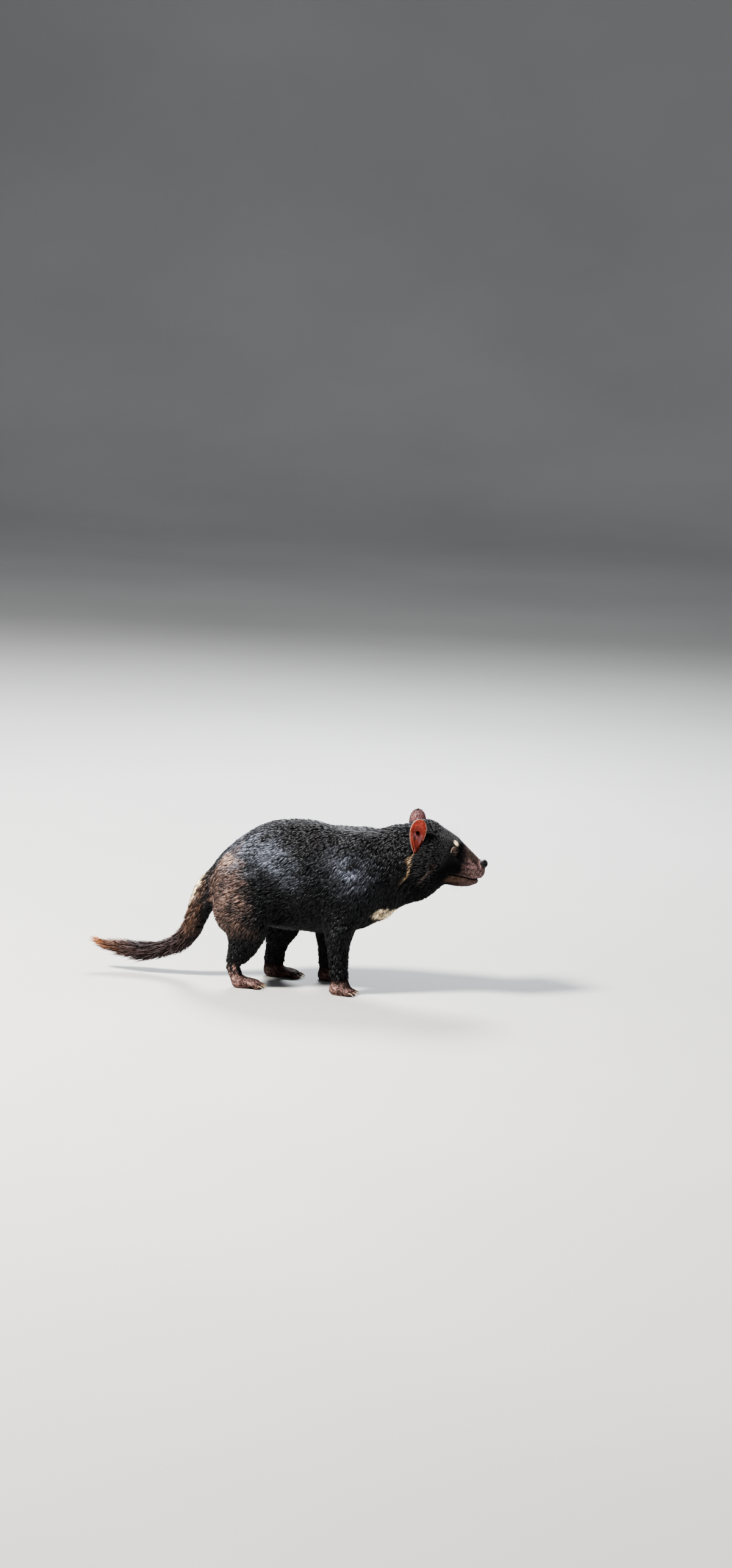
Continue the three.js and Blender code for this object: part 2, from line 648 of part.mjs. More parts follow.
// Two like grids of points joined round their rim into one closed body
function sheetBody(front, back, columns, rows) {
  const wide = columns + 1;
  const points = [...front, ...back];
  const index = [];
  const quad = (a, b, c, d) => index.push(a, b, c, a, c, d);
  for (let r = 0; r < rows; r++)
    for (let c = 0; c < columns; c++) {
      const a = r * wide + c;
      quad(a, a + 1, a + 1 + wide, a + wide);
      const b = a + front.length;
      quad(b + 1, b, b + wide, b + 1 + wide);
    }
  const rim = [
    ...Array.from({ length: columns }, (_, c) => c),
    ...Array.from({ length: rows }, (_, r) => r * wide + columns),
    ...Array.from({ length: columns }, (_, c) => rows * wide + columns - c),
    ...Array.from({ length: rows }, (_, r) => (rows - r) * wide),
  ];
  rim.forEach((a, i) => {
    const b = rim[(i + 1) % rim.length];
    quad(b, a, a + front.length, b + front.length);
  });
  const flat = new Float32Array(points.flatMap((p) => [p.x, p.y, p.z]));
  const sheet = new THREE.BufferGeometry().setAttribute("position", new THREE.BufferAttribute(flat, 3)).setIndex(index);
  const made = solid(sheet);
  if (made.volume() > 0) return made;
  for (let i = 0; i < index.length; i += 3) [index[i + 1], index[i + 2]] = [index[i + 2], index[i + 1]];
  return solid(sheet.setIndex(index));
}

function makeTail() {
  const whole = fleshIn([-300, -45, 5], [-110, 60, 235], GRAIN.tail);
  const root = intersect(whole, ahead(CUTS.rump), ahead(CUTS.behindHips, 0));
  nodes.tail_base = root.intersect(behind(CUTS.tailBend));
  nodes.tail_middle = root.intersect(intersect(ahead(CUTS.tailBend), behind(CUTS.tailTuft)));
  const core = solid(surface([sweep(TAIL_CORE, 4)], boxOf([-375, -20, 15], [-225, 45, 75]), 6.5));
  nodes.tail_tuft = wasm.Manifold.union([core, ...tuftLocks()]).intersect(ahead(CUTS.tailTuft));
}

// Repeatable variation between 0 and 1
let seed = 7;
function vary() {
  seed = (seed * 1664525 + 1013904223) % 4294967296;
  return seed / 4294967296;
}

// Flat tapered locks, rooted in the core of the tail and lying back along it
function tuftLocks() {
  const line = throughRows(TUFT, 8);
  const at = (s) => {
    const place = Math.min(s, 0.9999) * (line.length - 1);
    const [a, b] = [line[Math.floor(place)], line[Math.floor(place) + 1]];
    return a.map((v, i) => v + (b[i] - v) * (place % 1));
  };
  const locks = [];
  for (let row = 0; row < LOCKS.rows; row++)
    for (let k = 0; k < LOCKS.around; k++) {
      const angle = (2 * Math.PI * (k + (row % 2) / 2 + 0.35 * (vary() - 0.5))) / LOCKS.around;
      const start = LOCKS.first + ((LOCKS.last - LOCKS.first) * row) / (LOCKS.rows - 1);
      const length = LOCKS.length * (0.85 + 0.3 * vary());
      const outwards = new THREE.Vector3(0, Math.cos(angle), Math.sin(angle));
      const across = new THREE.Vector3(0, -Math.sin(angle), Math.cos(angle));
      const rings = [0, 0.35, 0.72, 1].map((t) => {
        const [x, y, z, reach] = at(start + length * t);
        const out = reach * (0.12 + 0.72 * Math.sin(1.9 * t));
        const size = t === 1 ? 0.12 : 1 - 0.35 * t * t;
        const shrink = size * (0.45 + (0.55 * reach) / 14);
        return {
          centre: new THREE.Vector3(x, y, z).addScaledVector(outwards, out),
          a: across.clone().multiplyScalar(LOCKS.wide * shrink),
          b: outwards.clone().multiplyScalar(LOCKS.thick * shrink),
        };
      });
      locks.push(ringBody(rings, 4));
    }
  return locks;
}

makeTrunk();
makeLegs();
makeHead();
makeTail();

// Finishes, by the first word of the node's name
const COLOURS = {
  coat: { color: 0x1c1a19, roughness: 0.5, metalness: 0 },
  thigh: { color: 0x2e2522, roughness: 0.55, metalness: 0 },
  skin: { color: 0x7a5a52, roughness: 0.6, metalness: 0 },
  ear: { color: 0xb0564a, roughness: 0.55, metalness: 0 },
  nose: { color: 0x1b1819, roughness: 0.35, metalness: 0 },
  eye: { color: 0x120d0a, roughness: 0.08, metalness: 0 },
  tail: { color: 0x3a2620, roughness: 0.6, metalness: 0 },
};
const FINISH_OF = { muzzle: "skin", jaw: "skin", forepaw: "skin", hind: "skin" };

const devil = new THREE.Group();
for (const [name, body] of Object.entries(nodes)) {
  const word = name.split("_")[0];
  const finish = COLOURS[FINISH_OF[word] ?? word] ?? COLOURS.coat;
  const mesh = new THREE.Mesh(geometryOf(largest(body)), new THREE.MeshStandardMaterial(finish));
  mesh.name = name;
  devil.add(mesh);
}

// The origin is under the middle of the body's box, on the floor
const bounds = new THREE.Box3().setFromObject(devil);
const middle = bounds.getCenter(new THREE.Vector3());
devil.children.forEach((mesh) => mesh.geometry.translate(-middle.x, -middle.y, -bounds.min.z));

export default devil;
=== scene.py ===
# The looks of a Tasmanian devil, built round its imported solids.
# The animal is laid out in millimetres, +X towards the nose, +Y to its left and +Z up, as its solids are,
# and every mesh is moved into their frame, in metres, when it is made.
import math
from collections import namedtuple
from concurrent.futures import ThreadPoolExecutor

import bpy
import numpy as np
from mathutils import Matrix, Vector


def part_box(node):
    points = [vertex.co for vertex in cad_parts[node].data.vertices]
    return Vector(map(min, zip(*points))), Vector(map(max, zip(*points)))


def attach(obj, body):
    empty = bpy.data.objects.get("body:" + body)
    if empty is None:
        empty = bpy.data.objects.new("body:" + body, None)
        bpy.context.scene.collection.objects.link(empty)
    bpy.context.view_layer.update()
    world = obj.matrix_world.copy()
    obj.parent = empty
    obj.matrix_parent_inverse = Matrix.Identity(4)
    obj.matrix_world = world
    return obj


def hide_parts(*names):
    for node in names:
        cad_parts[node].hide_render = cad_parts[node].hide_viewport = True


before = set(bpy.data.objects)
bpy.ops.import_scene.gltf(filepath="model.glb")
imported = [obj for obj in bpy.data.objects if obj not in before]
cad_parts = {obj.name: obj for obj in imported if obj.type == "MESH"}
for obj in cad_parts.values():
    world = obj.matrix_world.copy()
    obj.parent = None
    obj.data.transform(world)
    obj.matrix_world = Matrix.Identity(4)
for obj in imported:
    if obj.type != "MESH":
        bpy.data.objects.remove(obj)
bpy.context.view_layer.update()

MM = 0.001
FAR = 1000.0
FIELD_MARGIN = 24  # how far outside a part its field is still worked out, past its fillet
EAR_MARGIN = 16
AWAY_FROM_EARS = 40.0
SIDES = {"right": -1, "left": 1}
random = np.random.default_rng(11)

# Sections of each sweep: centre x, y, z, then half width across the body and half depth
TRUNK = [
    [-152, 0, 166, 28, 31],
    [-115, 0, 178, 50, 63],
    [-75, 0, 191, 67, 86],
    [-25, 0, 206, 79, 103],
    [30, 0, 210, 84, 106],
    [80, 0, 205, 82, 101],
    [122, 0, 211, 76, 94],
    [165, 0, 233, 66, 71],
    [200, 0, 246, 58, 68],
    [232, 0, 257, 48, 60],
]
# Sections of the head stand upright
HEAD = [
    [214, 0, 252, 45, 62],
    [242, 0, 259.5, 54, 68.5],
    [264, 0, 262.7, 53, 64.7],
    [284, 0, 262.7, 48, 54.3],
    [300, 0, 257.6, 41, 49.6],
    [318, 0, 249.6, 33.5, 42.4],
    [330, 0, 244.2, 28, 36.8],
    [340, 0, 240.6, 23, 31.4],
    [348, 0, 240.2, 17, 24.6],
    [354, 0, 240.5, 11, 17.5],
]
TAIL = [
    [-146, 0, 178, 27, 26],
    [-163, 0, 152, 24, 26],
    [-177, 2, 118, 21, 22],
    [-189, 3, 88, 19.5, 21],
    [-208, 5, 65, 18, 19],
    [-240, 8, 48, 16, 17],
    [-264, 10, 43, 13, 13.5],
]
TAIL_CORE = [
    [-250, 9, 45, 14, 14.5],
    [-264, 10, 43.5, 12.5, 12.5],
    [-281, 11, 43, 8.2, 8.2],
    [-305, 12, 43, 6.6, 6.6],
    [-330, 12.5, 44.5, 4.8, 4.8],
    [-350, 12, 47, 2.8, 2.8],
]
# The hair of the tail: its middle line with the outer reach of the hair
TUFT = [
    [-156, 0, 166, 26],
    [-177, 2, 118, 22.5],
    [-189, 3, 88, 20.5],
    [-208, 5, 65, 19.5],
    [-235, 7.5, 50, 17.5],
    [-262, 10, 43, 16],
    [-290, 11.5, 42, 16.5],
    [-320, 12.5, 43, 16],
    [-345, 12.5, 45, 13],
    [-366, 11.5, 49, 8],
    [-386, 11, 54, 1.5],
]
TAIL_END = 388  # no hair reaches past it
FORELEGS = {
    "right": {"side": -1, "wrist": 108, "shoulder": 112, "out": 60},
    "left": {"side": 1, "wrist": 71, "shoulder": 96, "out": 57},
}
HIND_LEGS = {
    "right": [
        [-84, -44, 198, 30, 50],
        [-84, -52, 150, 34, 55],
        [-73, -57, 112, 29, 45],
        [-76, -59, 84, 22, 33],
        [-84, -60, 64, 17, 25],
        [-93, -60, 45, 12.5, 14.5],
        [-90, -60, 27, 12, 12],
        [-82, -60, 13, 15, 11],
    ],
    "left": [
        [-64, 44, 198, 30, 50],
        [-44, 52, 150, 33, 54],
        [-18, 57, 110, 26, 38],
        [-27, 58, 74, 20, 26],
        [-32, 58, 44, 14, 20],
        [-34, 58, 18, 14, 18],
    ],
}
# Feet: where the sole starts and where the toes end, and the toes' number and spread
FEET = {
    "fore_right": {"y": -61, "heel": 100, "ball": 116, "toe": 136, "wide": 18, "toes": 5, "spread": 15},
    "fore_left": {"y": 58, "heel": 63, "ball": 79, "toe": 99, "wide": 18, "toes": 5, "spread": 15},
    "hind_right": {"y": -60, "heel": -83, "ball": -62, "toe": -39, "wide": 16.5, "toes": 4, "spread": 9},
    "hind_left": {"y": 58, "heel": -40, "ball": -6, "toe": 17, "wide": 16.5, "toes": 4, "spread": 9},
}
BEHIND_LEGS = -140  # the legs lie before it and the tail behind it
SOLE_HEIGHT = 9
TOE_RADIUS = 4.8
# Toes: share of their length, height, and thickness next to TOE_RADIUS
TOE_SECTIONS = [(-0.2, 9.5, 1), (0.35, 9.6, 1.15), (0.8, 5.8, 1.1), (1, 4.8, 0.6)]
CLAW = {"length": 14, "radius": 2.0, "height": 6.4, "drop": 4.4}
SHOULDER_BLADE = ((128, 26, 276), (34, 30, 28), 28)  # centre, half sizes and fillet

HEAD_TURN = math.radians(7)  # to the animal's left, about the nape
NAPE_X = 200
# Swellings of the head: cheek, brow and whisker pad, as centre, half sizes and fillet
SWELLINGS = [
    ((256, 35, 247), (40, 26, 36), 24),
    ((301, 22, 289), (13, 10, 9), 10),
    ((334, 13, 238), (20, 12, 13), 10),
]
# Lips: centre x, y, z, then half width and half depth
UPPER_LIP = [
    [290, 35, 241, 5, 5],
    [316, 27, 236, 5, 5.5],
    [336, 20, 231, 5, 5.5],
    [348, 11, 229, 4.5, 5],
    [353, 0, 229.5, 4.5, 5],
]
LOWER_LIP = [
    [292, 32, 230, 4, 4],
    [316, 24, 224.5, 4.5, 4.5],
    [334, 16, 219.5, 4.5, 4.5],
    [343, 8, 217.5, 4.5, 4.5],
    [347, 0, 217.5, 4.5, 4.5],
]
MOUTH_CORNER_X = 291
MOUTH_PLANE = {"at": (320, 0, 229.5), "way": (0.206, 0, 0.979)}
EYE = {"at": (303.5, 32, 278.3), "radius": 8, "look": (0.42, 0.9, 0.1), "tilt": 12}
LID = {"long": 6.3, "high": 5.4}  # half sizes of the opening between the lids
BROW_SPOT = (308.7, 28, 291.7)
NOSE = {"at": (359, 0, 251), "size": (11, 12, 9.5)}
NOSE_PAD = {"at": (361, 0, 251.5), "size": (9.5, 11.5, 9.5)}
# The nostril and the slit that runs back from it, as centre, half sizes and depth
NOSTRIL = [((366.5, 6.5, 252.5), (3.4, 3, 2.4), 4.2), ((362.5, 10.5, 251.5), (4.5, 3, 1.5), 2.8)]
FOLLICLE_ROWS, FOLLICLES_IN_ROW = 4, 6
FOLLICLES = [
    (338 - 4.6 * k + 2.3 * (row % 2), 247 - 3.9 * row - 0.5 * k)
    for row in range(FOLLICLE_ROWS)
    for k in range(FOLLICLES_IN_ROW)
]
EAR = {"root": (231, 53, 272), "tip": (237, 58, 340), "wide": 34, "cup": 11, "open": (0.45, 0.89, 0)}
EAR_STRIP = [[227, 54, 269], [230, 55, 258], [226, 55, 244], [214, 54, 226], [207, 52, 208]]

# Soft ovals, as height, middle, half sizes and lean: first on the animal's side, seen in x and z
MUSCLES = [
    (2.2, (-30, 236), (11, 38), 0),  # hollow of the flank
    (1.6, (-14, 165), (16, 40), 0),  # hollow before the thigh
    (-1.6, (-84, 190), (34, 46), 0),  # thigh
    (2.0, (66.6, 175), (13, 44), 0.12),  # hollow behind the arm
    (-1.5, (118, 180), (26, 44), 0),  # arm
    (1.6, (182, 230), (12, 44), 0),  # hollow of the neck
]
# Where a sheen is painted into the coat's colour, as a painted highlight: over the hip, the ribs and the
# shoulder
SHEENS = [
    (1, (-84, 262), (48, 32), 0),
    (1.1, (-8, 246), (26, 36), -0.5),
    (1.1, (122.4, 238), (36, 32), -0.2),
]
# In an ear, seen across and up it: two lobes, the canal between them and the bowl above
EAR_LOBES = [
    (6.0, (-0.10, 0.47), (0.18, 0.075), 0),
    (5.0, (-0.55, 0.42), (0.2, 0.09), 0),
    (-5.5, (-0.34, 0.545), (0.17, 0.05), 0),
    (-1.6, (-0.1, 0.74), (0.5, 0.14), 0),
]


# Small helpers
def unit(v):
    v = np.asarray(v, float)
    return v / np.maximum(np.linalg.norm(v, axis=-1, keepdims=True), 1e-9)


def smooth(x, low, high):
    t = np.clip((np.asarray(x, float) - low) / (high - low), 0, 1)
    return t * t * (3 - 2 * t)


def bell(x, width):
    return np.exp(-((x / width) ** 2))


def mix(a, b, share):
    """From a to b as the share goes from 0 to 1."""
    return a * (1 - share) + b * share


def oval_reach(x, z, middle, size):
    """How far out places lie from the middle of an oval: 1 on its edge."""
    return np.hypot((x - middle[0]) / size[0], (z - middle[1]) / size[1])


def ellipsoid_reach(p, centre, size):
    """How far out points lie from the centre of an ellipsoid: 1 on its surface."""
    return np.sqrt((((p - np.array(centre, float)) / np.array(size, float)) ** 2).sum(1))


def ovals(x, z, rows):
    """Soft ovals added up; a lean moves one forwards as it rises."""
    total = 0
    for high, middle, size, lean in rows:
        total = total + high * bell(oval_reach(x - lean * (z - middle[1]), z, middle, size), 1)
    return total


def spun(p, angle, about=0):
    """Points turned about the upright line at x = about, y = 0."""
    p = np.asarray(p, float)
    c, s = math.cos(angle), math.sin(angle)
    x, y = p[..., 0] - about, p[..., 1]
    return np.stack([about + x * c - y * s, x * s + y * c, p[..., 2]], -1)


def turned(p):
    """Points of the head, turned with it."""
    return spun(p, HEAD_TURN, NAPE_X)


def unturned(p):
    return spun(p, -HEAD_TURN, NAPE_X)


def turned_way(v):
    return unit(spun(v, HEAD_TURN))


def mirrored(p, side):
    return np.array([p[0], side * p[1], p[2]], float)


# How far the layout lies from the frame of the solids, told by the right eye
eye_low, eye_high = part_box("eye_right")
SHIFT = turned(mirrored(EYE["at"], -1)) - (np.array(eye_low) + np.array(eye_high)) / (2 * MM)


def to_frame(p):
    """Points of the layout in the frame of the solids, in metres."""
    return (np.asarray(p, float) - SHIFT) * MM


def waves(p, size, seed, number=6):
    """Smooth repeatable variation between about -1 and 1, with lumps of about `size`."""
    draw = np.random.default_rng(seed)
    total = np.zeros(len(p))
    for _ in range(number):
        way = unit(draw.normal(size=3)) * draw.uniform(0.7, 1.5) * 2 * math.pi / (2.2 * size)
        total += np.sin(p @ way + draw.uniform(0, 6.3))
    return total / math.sqrt(1.5 * number)


# The flesh: a field that is below 0 inside
Part = namedtuple("Part", "value low high soft")


def through_rows(rows, parts):
    """Smooth curve through rows of numbers, with `parts` points between each two rows."""
    rows = np.array(rows, float)
    out = []
    for i in range(len(rows) - 1):
        a, b, d, e = rows[max(i - 1, 0)], rows[i], rows[i + 1], rows[min(i + 2, len(rows) - 1)]
        for t in np.arange(parts) / parts:
            out.append(b + 0.5 * t * (d - a + t * (2 * a - 5 * b + 4 * d - e + t * (3 * (b - d) + e - a))))
    out.append(rows[-1])
    return np.array(out)


def nearest_leg(p, line):
    """For each point, the leg of a line of points that is nearest, and how far along it."""
    way = np.diff(line, axis=0)
    squared = (way**2).sum(1)
    best = np.full(len(p), np.inf)
    leg = np.zeros(len(p), int)
    share = np.zeros(len(p))
    for i in range(len(way)):
        d = p - line[i]
        t = np.clip(d @ way[i] / squared[i], 0, 1)
        gap = ((d - t[:, None] * way[i]) ** 2).sum(1)
        nearer = gap < best
        best[nearer], leg[nearer], share[nearer] = gap[nearer], i, t[nearer]
    return leg, share, np.sqrt(best)


def between_sections(p, line, tangent):
    """For each point, the two sections of a sweep that it lies between, and how far from one to the other."""
    ahead = p @ tangent.T - (line * tangent).sum(1)
    middle = np.vstack([line[:1], (line[:-1] + line[1:]) / 2, line[-1:]])
    gap = (middle**2).sum(1) - 2 * p @ middle.T
    gap[:, 0] = np.where(ahead[:, 0] < 0, gap[:, 0], np.inf)
    gap[:, -1] = np.where(ahead[:, -1] > 0, gap[:, -1], np.inf)
    gap[:, 1:-1] = np.where((ahead[:, :-1] >= 0) & (ahead[:, 1:] <= 0), gap[:, 1:-1], np.inf)
    choice = gap.argmin(1)
    leg = np.clip(choice - 1, 0, len(line) - 2)
    each = np.arange(len(p))
    low, high = ahead[each, leg], ahead[each, leg + 1]
    share = np.clip(low / np.where(low == high, 1, low - high), 0, 1)
    share = np.where(choice == 0, 0, np.where(choice == len(line), 1, share))
    return leg, share, np.where(choice == 0, low, np.where(choice == len(line), high, 0))


def eased(way, rounds):
    """Directions along a curve, each drawn towards its neighbours."""
    for _ in range(rounds):
        way = unit(np.vstack([way[:1], (way[:-2] + 2 * way[1:-1] + way[2:]) / 4, way[-1:]]))
    return way


def sweep(rows, soft, side_way=(0, 1, 0), facing=None, ease=0):
    """Ellipses along a curve, square to it or all facing one way.

    `ease` keeps the sections inside a bend from crossing.
    """
    rows = through_rows(rows, 4)
    line = rows[:, :3]
    tangent = unit(np.vstack([line[1:], line[-1:]]) - np.vstack([line[:1], line[:-1]]))
    if facing is not None:
        tangent = np.tile(facing, (len(line), 1))
    tangent = eased(tangent, ease)
    up = unit(np.cross(tangent, side_way))
    side = np.cross(up, tangent)
    across, deep = rows[:, 3], rows[:, 4]
    reach = np.maximum(across, deep)[:, None]
    table = np.hstack([line, side, up, rows[:, 3:5]])

    def value(p):
        leg, share, past = between_sections(p, line, tangent)
        here = table[leg] + (table[leg + 1] - table[leg]) * share[:, None]
        d = p - here[:, :3]
        wide, high = here[:, 9], here[:, 10]
        least = np.minimum(wide, high)
        sideways, upwards = (d * here[:, 3:6]).sum(1) / wide, (d * here[:, 6:9]).sum(1) / high
        return (np.sqrt(sideways**2 + upwards**2 + (past / least) ** 2) - 1) * least

    return Part(value, (line - reach).min(0), (line + reach).max(0), soft)


def blob(centre, size, soft):
    centre, size = np.array(centre, float), np.array(size, float)

    def value(p):
        return (ellipsoid_reach(p, centre, size) - 1) * size.min()

    return Part(value, centre - size, centre + size, soft)


def pair(centre, size, soft, placed=np.array):
    """The same blob on both sides."""
    return [blob(placed(mirrored(centre, side)), size, soft) for side in SIDES.values()]


def meld(a, b, soft):
    """Joins two fields with a fillet of about `soft`."""
    h = np.maximum(soft - np.abs(a - b), 0) / soft
    return np.minimum(a, b) - h * h * soft / 4


def together(parts, p):
    """All parts as one field, each melded with those before it."""
    d = np.full(len(p), FAR)
    for part in parts:
        margin = part.soft + FIELD_MARGIN
        near = np.flatnonzero(((p > part.low - margin) & (p < part.high + margin)).all(1))
        if len(near):
            d[near] = meld(d[near], part.value(p[near]), part.soft)
    return d


def turned_rows(rows):
    rows = np.array(rows, float)
    rows[:, :3] = turned(rows[:, :3])
    return rows


def head_parts():
    """The head's sections, its swellings, both lips on each side, and the nose."""
    head_way = turned_way((0, 1, 0))
    parts = [sweep(turned_rows(HEAD), 22, head_way, turned_way((1, 0, 0)))]
    for swelling in SWELLINGS:
        parts += pair(*swelling, turned)
    for side in SIDES.values():
        for lip in (UPPER_LIP, LOWER_LIP):
            rows = [[x, side * y, *rest] for x, y, *rest in lip]
            parts.append(sweep(turned_rows(rows), 4, head_way))
    parts.append(blob(turned(NOSE["at"]), NOSE["size"], 4))
    return parts


def foreleg_sections(side, wrist, shoulder, out):
    return [
        [shoulder, side * (out - 14), 214, 22, 44],
        [(shoulder + wrist) / 2, side * (out - 7), 160, 25, 38],
        [wrist - 5, side * (out - 1), 118, 24, 29],
        [wrist - 5, side * out, 90, 20, 22.5],
        [wrist - 3, side * out, 60, 16.5, 19.5],
        [wrist, side * out, 28, 15, 16.5],
        [wrist + 3, side * (out + 1), 12, 17, 17],
    ]


def toe_paths(y, ball, toe, wide, toes, spread, **_):
    """Toes fan out from the ball of the foot, each arching down to a pad on the floor."""
    paths = []
    for k in range(toes):
        lean = k - (toes - 1) / 2
        angle = math.radians(lean * spread)
        reach = (toe - ball) * (1 - 0.07 * lean * lean)
        from_y = y + lean * 1.7 * wide / toes
        rows = []
        for share, z, size in TOE_SECTIONS:
            x, across = ball + reach * share * math.cos(angle), from_y + reach * share * math.sin(angle)
            rows.append([x, across, z, TOE_RADIUS * size, TOE_RADIUS * size])
        paths.append(rows)
    return paths


def foot_parts(foot):
    y, heel, ball, wide = foot["y"], foot["heel"], foot["ball"], foot["wide"]
    sole = [
        [heel, y, SOLE_HEIGHT, wide * 0.78, 10],
        [(heel + ball) / 2, y, SOLE_HEIGHT, wide * 0.92, 10.5],
        [ball, y, SOLE_HEIGHT, wide, 9.5],
    ]
    return [sweep(sole, 8)] + [sweep(path, 2.5) for path in toe_paths(**foot)]


LEG_PARTS = {f"fore_{name}": sweep(foreleg_sections(**leg), 22) for name, leg in FORELEGS.items()}
LEG_PARTS |= {f"hind_{name}": sweep(rows, 20) for name, rows in HIND_LEGS.items()}
FLESH = [sweep(TRUNK, 24, ease=8), *head_parts(), sweep(TAIL, 12), sweep(TAIL_CORE, 4), *LEG_PARTS.values()]
FLESH += [part for foot in FEET.values() for part in foot_parts(foot)]
FLESH += pair(*SHOULDER_BLADE)


def ear_axes(side):
    """Root and height of an ear, the way it opens and the way to its rear edge."""
    root, tip = turned(mirrored(EAR["root"], side)), turned(mirrored(EAR["tip"], side))
    up = tip - root
    out = turned_way(mirrored(EAR["open"], side))
    out = unit(out - unit(up) * (out @ unit(up)))
    return root, up, out, np.cross(unit(up), out) * side


def ear_reach(v):
    """Half width of an ear at a share of its height."""
    return 1 + (EAR["wide"] / 2 - 1) * np.sqrt(np.maximum(np.sin(math.pi * np.maximum(v, 0) ** 1.7), 0))


def ear_cup(v):
    return EAR["cup"] * np.sin(math.pi * (0.12 + 0.88 * (1 - v)))


def ear_hollow(side):
    """The room inside an ear, that the head leaves open."""
    root, up, _, rear = ear_axes(side)
    v = np.linspace(0.1, 0.84, 9)
    rows = np.column_stack([root + up * v[:, None], ear_reach(v) * 0.95, ear_cup(v) + 3.8])
    return sweep(rows, 3, rear)


EAR_HOLLOWS = [ear_hollow(side) for side in SIDES.values()]


def ear_clearance(p):
    """Distance from the room inside the ears."""
    gap = np.full(len(p), AWAY_FROM_EARS)
    for part in EAR_HOLLOWS:
        near = np.flatnonzero(((p > part.low - EAR_MARGIN) & (p < part.high + EAR_MARGIN)).all(1))
        if len(near):
            gap[near] = np.minimum(gap[near], part.value(p[near]))
    return gap


def room_for_hair(p):
    """Length that hair may have near the ears, where it must not lie across their openings."""
    room = 2.2 + 0.55 * ear_clearance(p)
    for side in SIDES.values():
        root, _, _, rear = ear_axes(side)
        room += 8 * smooth((p - root) @ rear, 0, 4) * (p[:, 1] * side > 0)
    return room


def clear_of_ears(p):
    """1 behind and below the ears, where hair may grow close to them."""
    clear = np.zeros(len(p))
    for side in SIDES.values():
        root, up, _, rear = ear_axes(side)
        behind = smooth((p - root) @ rear, 0.5, 2.5)
        below = smooth((p - root) @ unit(up), 3, 0)
        clear = np.maximum(clear, np.maximum(behind, below) * (p[:, 1] * side > 0))
    return clear


def coat_depth(p):
    """How far the skin lies under the outside of the coat."""
    q = unturned(p)
    body = 3.2 - 1.6 * smooth(q[:, 0], 222, 262) - 1.4 * smooth(q[:, 0], 290, 318)
    leg = smooth(p[:, 2], 14, 62)
    on_tail = smooth(-p[:, 0], 178, 205)
    thin_tip = smooth(-p[:, 0], 240, 262)
    return np.where(p[:, 0] > 200, body, body * leg) * (1 - on_tail) + (4 - 3.7 * thin_tip) * on_tail


def eye_axes(side):
    """Axes of an eye: the way it looks, the way to the nose across it, and up across it."""
    look = turned_way(mirrored(EYE["look"], side))
    forward = turned_way([1, 0, 0])
    forward = unit(forward - look * (forward @ look))
    c, s = math.cos(math.radians(EYE["tilt"])), math.sin(math.radians(EYE["tilt"]))
    up = np.cross(look, forward) * side
    return look, forward * c - up * s, up * c + forward * s


def eye_places(p, side):
    """Where points lie round an eye: how far out in lid openings, and their part above its middle."""
    look, forward, up = eye_axes(side)
    d = p - turned(mirrored(EYE["at"], side))
    along, above, out = d @ forward, d @ up, d @ look
    narrow = LID["high"] * (1 - 0.3 * np.clip(np.abs(along) / LID["long"], 0, 1.4) ** 2)
    ring = np.sqrt((along / LID["long"]) ** 2 + (above / np.maximum(narrow, 2)) ** 2)
    return np.where(out > -4, ring, 9), above


def face_forms(p):
    """Fine forms of the face, as a distance to sink the skin by."""
    q = unturned(p)
    x, y, z = q.T
    sink = np.zeros(len(p))
    for side in SIDES.values():
        ring, above = eye_places(p, side)
        sink += 7 * smooth(ring, 1.02, 0.75)
        sink -= 2.5 * bell(ring - 1.2, 0.24) * (1 + 0.15 * np.sign(above))
        sink += 0.9 * bell(ring - 1.85, 0.25) + 0.5 * bell(ring - 2.6, 0.3)
        for centre, size, depth in NOSTRIL:
            sink += depth * bell(ellipsoid_reach(q, mirrored(centre, side), size), 1)
    across_mouth = mouth_height(q)
    along_mouth = smooth(x, MOUTH_CORNER_X - 2, MOUTH_CORNER_X + 5)
    sink += along_mouth * (2.6 * bell(across_mouth, 1.1) + 0.8 * bell(across_mouth, 3))
    front = smooth(x, 340, 352)
    sink += front * 1.1 * bell(y, 0.9) * smooth(z, 256, 252) * smooth(z, 228, 232)
    sink += 0.9 * bell(np.abs(nose_edge(q)), 1.3) * smooth(x, 340, 348)
    sink -= 0.45 * follicles(q)
    sink += 0.22 * waves(q, 6, 3) * smooth(x, 296, 322) * smooth(z, 268, 258)
    return sink


def mouth_height(q):
    """Height above the line between the lips, which rises to the corners and dips between them."""
    x = q[:, 0]
    line = 3.2 * smooth(x, 306, MOUTH_CORNER_X - 2) + 0.9 * np.sin((x - 296) / 11) * smooth(x, 356, 340)
    return (q - MOUTH_PLANE["at"]) @ np.array(MOUTH_PLANE["way"]) - line


def nose_edge(q):
    """Below 0 on the bare pad of the nose."""
    return (ellipsoid_reach(q, NOSE_PAD["at"], NOSE_PAD["size"]) - 1) * NOSE_PAD["size"][0]


def follicles(q):
    """Bumps on the whisker pads, 0 to 1."""
    total = np.zeros(len(q))
    for x, z in FOLLICLES:
        total += bell(np.hypot(q[:, 0] - x, q[:, 2] - z), 1.25)
    return total * smooth(np.abs(q[:, 1]), 8, 13)


def body_forms(p):
    """Shallow hollows and swellings of the muscles, as a distance to sink the skin by."""
    x, y, z = p.T
    withers = -3.6 * bell(x - 93, 15) * smooth(z, 270, 290) * smooth(np.abs(y), 58, 30)
    withers += 1.5 * bell(x - 124, 16) * smooth(z, 280, 296)
    return withers + smooth(np.abs(y), 22, 44) * ovals(x, z, MUSCLES) + 0.5 * waves(p, 26, 5)


